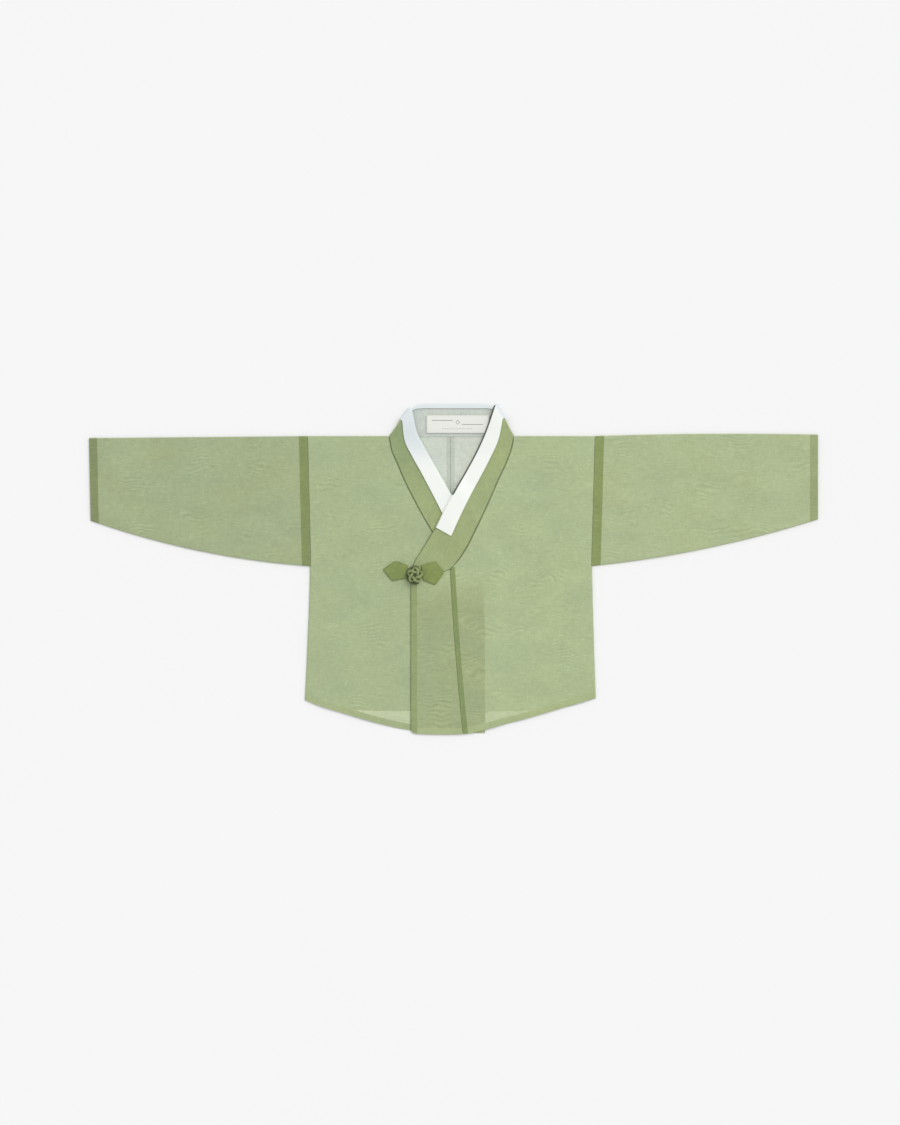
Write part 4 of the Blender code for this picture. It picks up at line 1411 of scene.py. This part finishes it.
def cord_cloth():
    recipe = Recipe("knot_cloth", 0.7)
    along_it, round_it = recipe.split(recipe.attribute("thread", "Vector"))
    turns = recipe.maths("ADD", recipe.maths("DIVIDE", along_it, 5.0 * MM),
                         recipe.maths("MULTIPLY", round_it, 2.0))
    twist = recipe.maths("SINE", recipe.maths("MULTIPLY", turns, math.tau))
    grain = recipe.noise(recipe.here(), 0.7, 0.7, 3.0)
    # painted shade darkens the cord between its turns, the core and the loop
    colour = recipe.mix(recipe.attribute("shade"), linear(138, 151, 99), linear(40, 50, 24))
    colour = recipe.times(colour, recipe.tone(twist, -1.0, 1.0, 0.9, 1.08))
    colour = recipe.times(colour, recipe.tone(grain, 0.3, 0.7, 0.9, 1.1))
    recipe.put(recipe.shader.inputs["Sheen Weight"], 0.1)
    return recipe.finish(colour, recipe.maths("ADD", twist, grain), 0.12)


def tab_cloth():
    recipe = Recipe("tab_cloth", 0.76)
    colour = recipe.mix(recipe.near("allowance", 0.0, 1.0, 0.3), linear(132, 146, 86), linear(105, 118, 66))
    # a painted shade line along the pressed fold
    colour = recipe.mix(recipe.near("ditch", 0.1, 0.7, 0.45), colour, linear(92, 104, 58))
    return woven(recipe, colour, 0.14, 0.12, sheen=0.06)


def thread_cloth(name, colour):
    recipe = Recipe(name, 0.6)
    grain = recipe.noise(recipe.here(), 0.5, 0.5)
    return recipe.finish(recipe.times(colour, recipe.tone(grain, 0.3, 0.7, 0.94, 1.04)))


knot_cloth, tab_dark = cord_cloth(), tab_cloth()
cloths = {"git": collar_cloth(), "dongjeong": white_cloth(), "neck_label": label_cloth(),
          "tab_left": tab_dark, "tab_right": tab_dark, "knot_button": knot_cloth,
          "button_loop": knot_cloth}
for name, cloth in cloths.items():
    pieces[name].data.materials.append(cloth)

# %% [markdown]
# ## Hand stitches where a hand works
#
# Small stitches hold the tabs and the label's short end. They are about a millimetre long and
# lie just proud of the cloth.

# %% Lay the stitches
def tab_stitch_line(name):
    outline, below = TABS[name]["outline"], TABS[name]["below"]
    line = np.array(rounded_corners(outline, TAB_CORNER))
    middle = np.array(outline).mean(axis=0)
    line = middle + (line - middle) * 0.9
    line = np.vstack([line, line[:1]])
    top = float(np.max(rest_height(*np.array(outline).T, below))) + TAB_WALL / 2
    return np.column_stack([line, top + lift(line[:, 0], line[:, 1])])


def label_stitch_line(x):
    y = np.linspace(LABEL_BOX[1] + 1.0, LABEL_BOX[3] - 1.0, 12)
    across = np.full(len(y), x)
    top = rest_height(across, y, BELOW_COLLAR_BACK) + PLY + CLOTH / 2
    return np.column_stack([across, y, top + lift(across, y)])


green_thread = thread_cloth("green_thread", linear(120, 134, 80))
pale_thread = thread_cloth("pale_thread", linear(205, 207, 198))
stitches = {
    "tab_stitches": stitched("tab_stitches", [tab_stitch_line(name) for name in TABS], 2.2, 1.2, 0.3,
                             green_thread),
    "label_stitches": stitched("label_stitches", [label_stitch_line(LABEL_BOX[0] + 1.0)], 1.6, 0.9, 0.3,
                               pale_thread),
}
print("stitches:", {name: len(item.data.polygons) for name, item in stitches.items()}, "faces")

# %% [markdown]
# ## Which piece is what
#
# Each visual piece rides on the frame's one body and stands for its solid, which is hidden.
# Each sheet also says what size of flat cloth it was cut from.

# %% Roles
for name, piece in pieces.items():
    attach(piece, "root")
    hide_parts(name)
for name, piece in stitches.items():
    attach(piece, "root")


# %% Cut sizes
LARGEST_FACE = 30.0             # a face larger than this on the flat cloth joins two of its edges


def face_area(corners):
    """Area of one face, or of many, from their corners on the flat cloth."""
    x, y = corners[..., 0], corners[..., 1]
    return np.abs((x * np.roll(y, -1, axis=-1) - np.roll(x, -1, axis=-1) * y).sum(axis=-1)) / 2


def flat_cut(sheet):
    """Width, length and area of the flat cloth, from the places its points take on it."""
    flat = np.array(sheet.thread) * MM
    corners = flat[sheet.faces]
    in_one_piece = np.ptp(corners, axis=1).max(axis=1) < LARGEST_FACE * MM
    area = face_area(corners[in_one_piece]).sum()
    width, length = np.ptp(flat, axis=0)
    return float(width), float(length), float(min(area, width * length))


def tab_cut(tab):
    """Width, length and area of a tab, from its outline."""
    outline = np.array(tab["outline"]) * MM
    width, length = np.ptp(outline, axis=0)
    return float(width), float(length), float(face_area(outline))


cuts = {name: flat_cut(sheet) for name, sheet in sheets.items()}
cuts.update({name: tab_cut(tab) for name, tab in TABS.items()})
for name, (width, length, area) in cuts.items():
    print(name, "cut", round(width, 3), "x", round(length, 3), "m, area", round(area, 5))

# %% [markdown]
# ## Floor, light and camera
#
# A wide pale floor, an even pale sky, and one broad soft light from the upper right. The camera
# looks straight down.

# %% Floor
FLOOR_REACH = 4.0


def plain_floor():
    mesh = bpy.data.meshes.new("floor")
    corners = [(-1, -1), (1, -1), (1, 1), (-1, 1)]
    mesh.from_pydata([(FLOOR_REACH * x, FLOOR_REACH * y, 0) for x, y in corners], [], [(0, 1, 2, 3)])
    recipe = Recipe("floor_paint", 0.95, 0.0)
    cloud = recipe.noise(recipe.here(), 400.0, 400.0)
    colour = recipe.times((0.9, 0.9, 0.9), recipe.tone(cloud, 0.3, 0.7, 0.998, 1.002))
    mesh.materials.append(recipe.finish(colour))
    return placed("floor", mesh)


floor = plain_floor()

ON_SHEETS = {"neck_label": [stitches["label_stitches"]], "tab_right": [stitches["tab_stitches"]]}
for name, (width, length, area) in cuts.items():
    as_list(ON_SHEETS.get(name, []))

# %% Light and camera
world = bpy.data.worlds.new("pale_sky")
bpy.context.scene.world = world
world.use_nodes = True
sky = world.node_tree.nodes["Background"].inputs
sky["Color"].default_value = (1.0, 1.0, 1.0, 1.0)
sky["Strength"].default_value = 0.727

sun = placed("soft_light", bpy.data.lights.new("soft_light", "SUN"))
sun.data.energy = 1.19
sun.data.angle = math.radians(35)
SUN_FROM = Vector((0.55, 0.75, 1.25))
sun.rotation_euler = SUN_FROM.to_track_quat("Z", "Y").to_euler()

camera = placed("camera", bpy.data.cameras.new("camera"))
camera.location = (-0.0035, 0.006, 3.0)
camera.data.sensor_fit = "VERTICAL"
camera.data.sensor_height = 36.0
camera.data.lens = 96.0
bpy.context.scene.camera = camera
bpy.context.scene.view_settings.view_transform = "Standard"
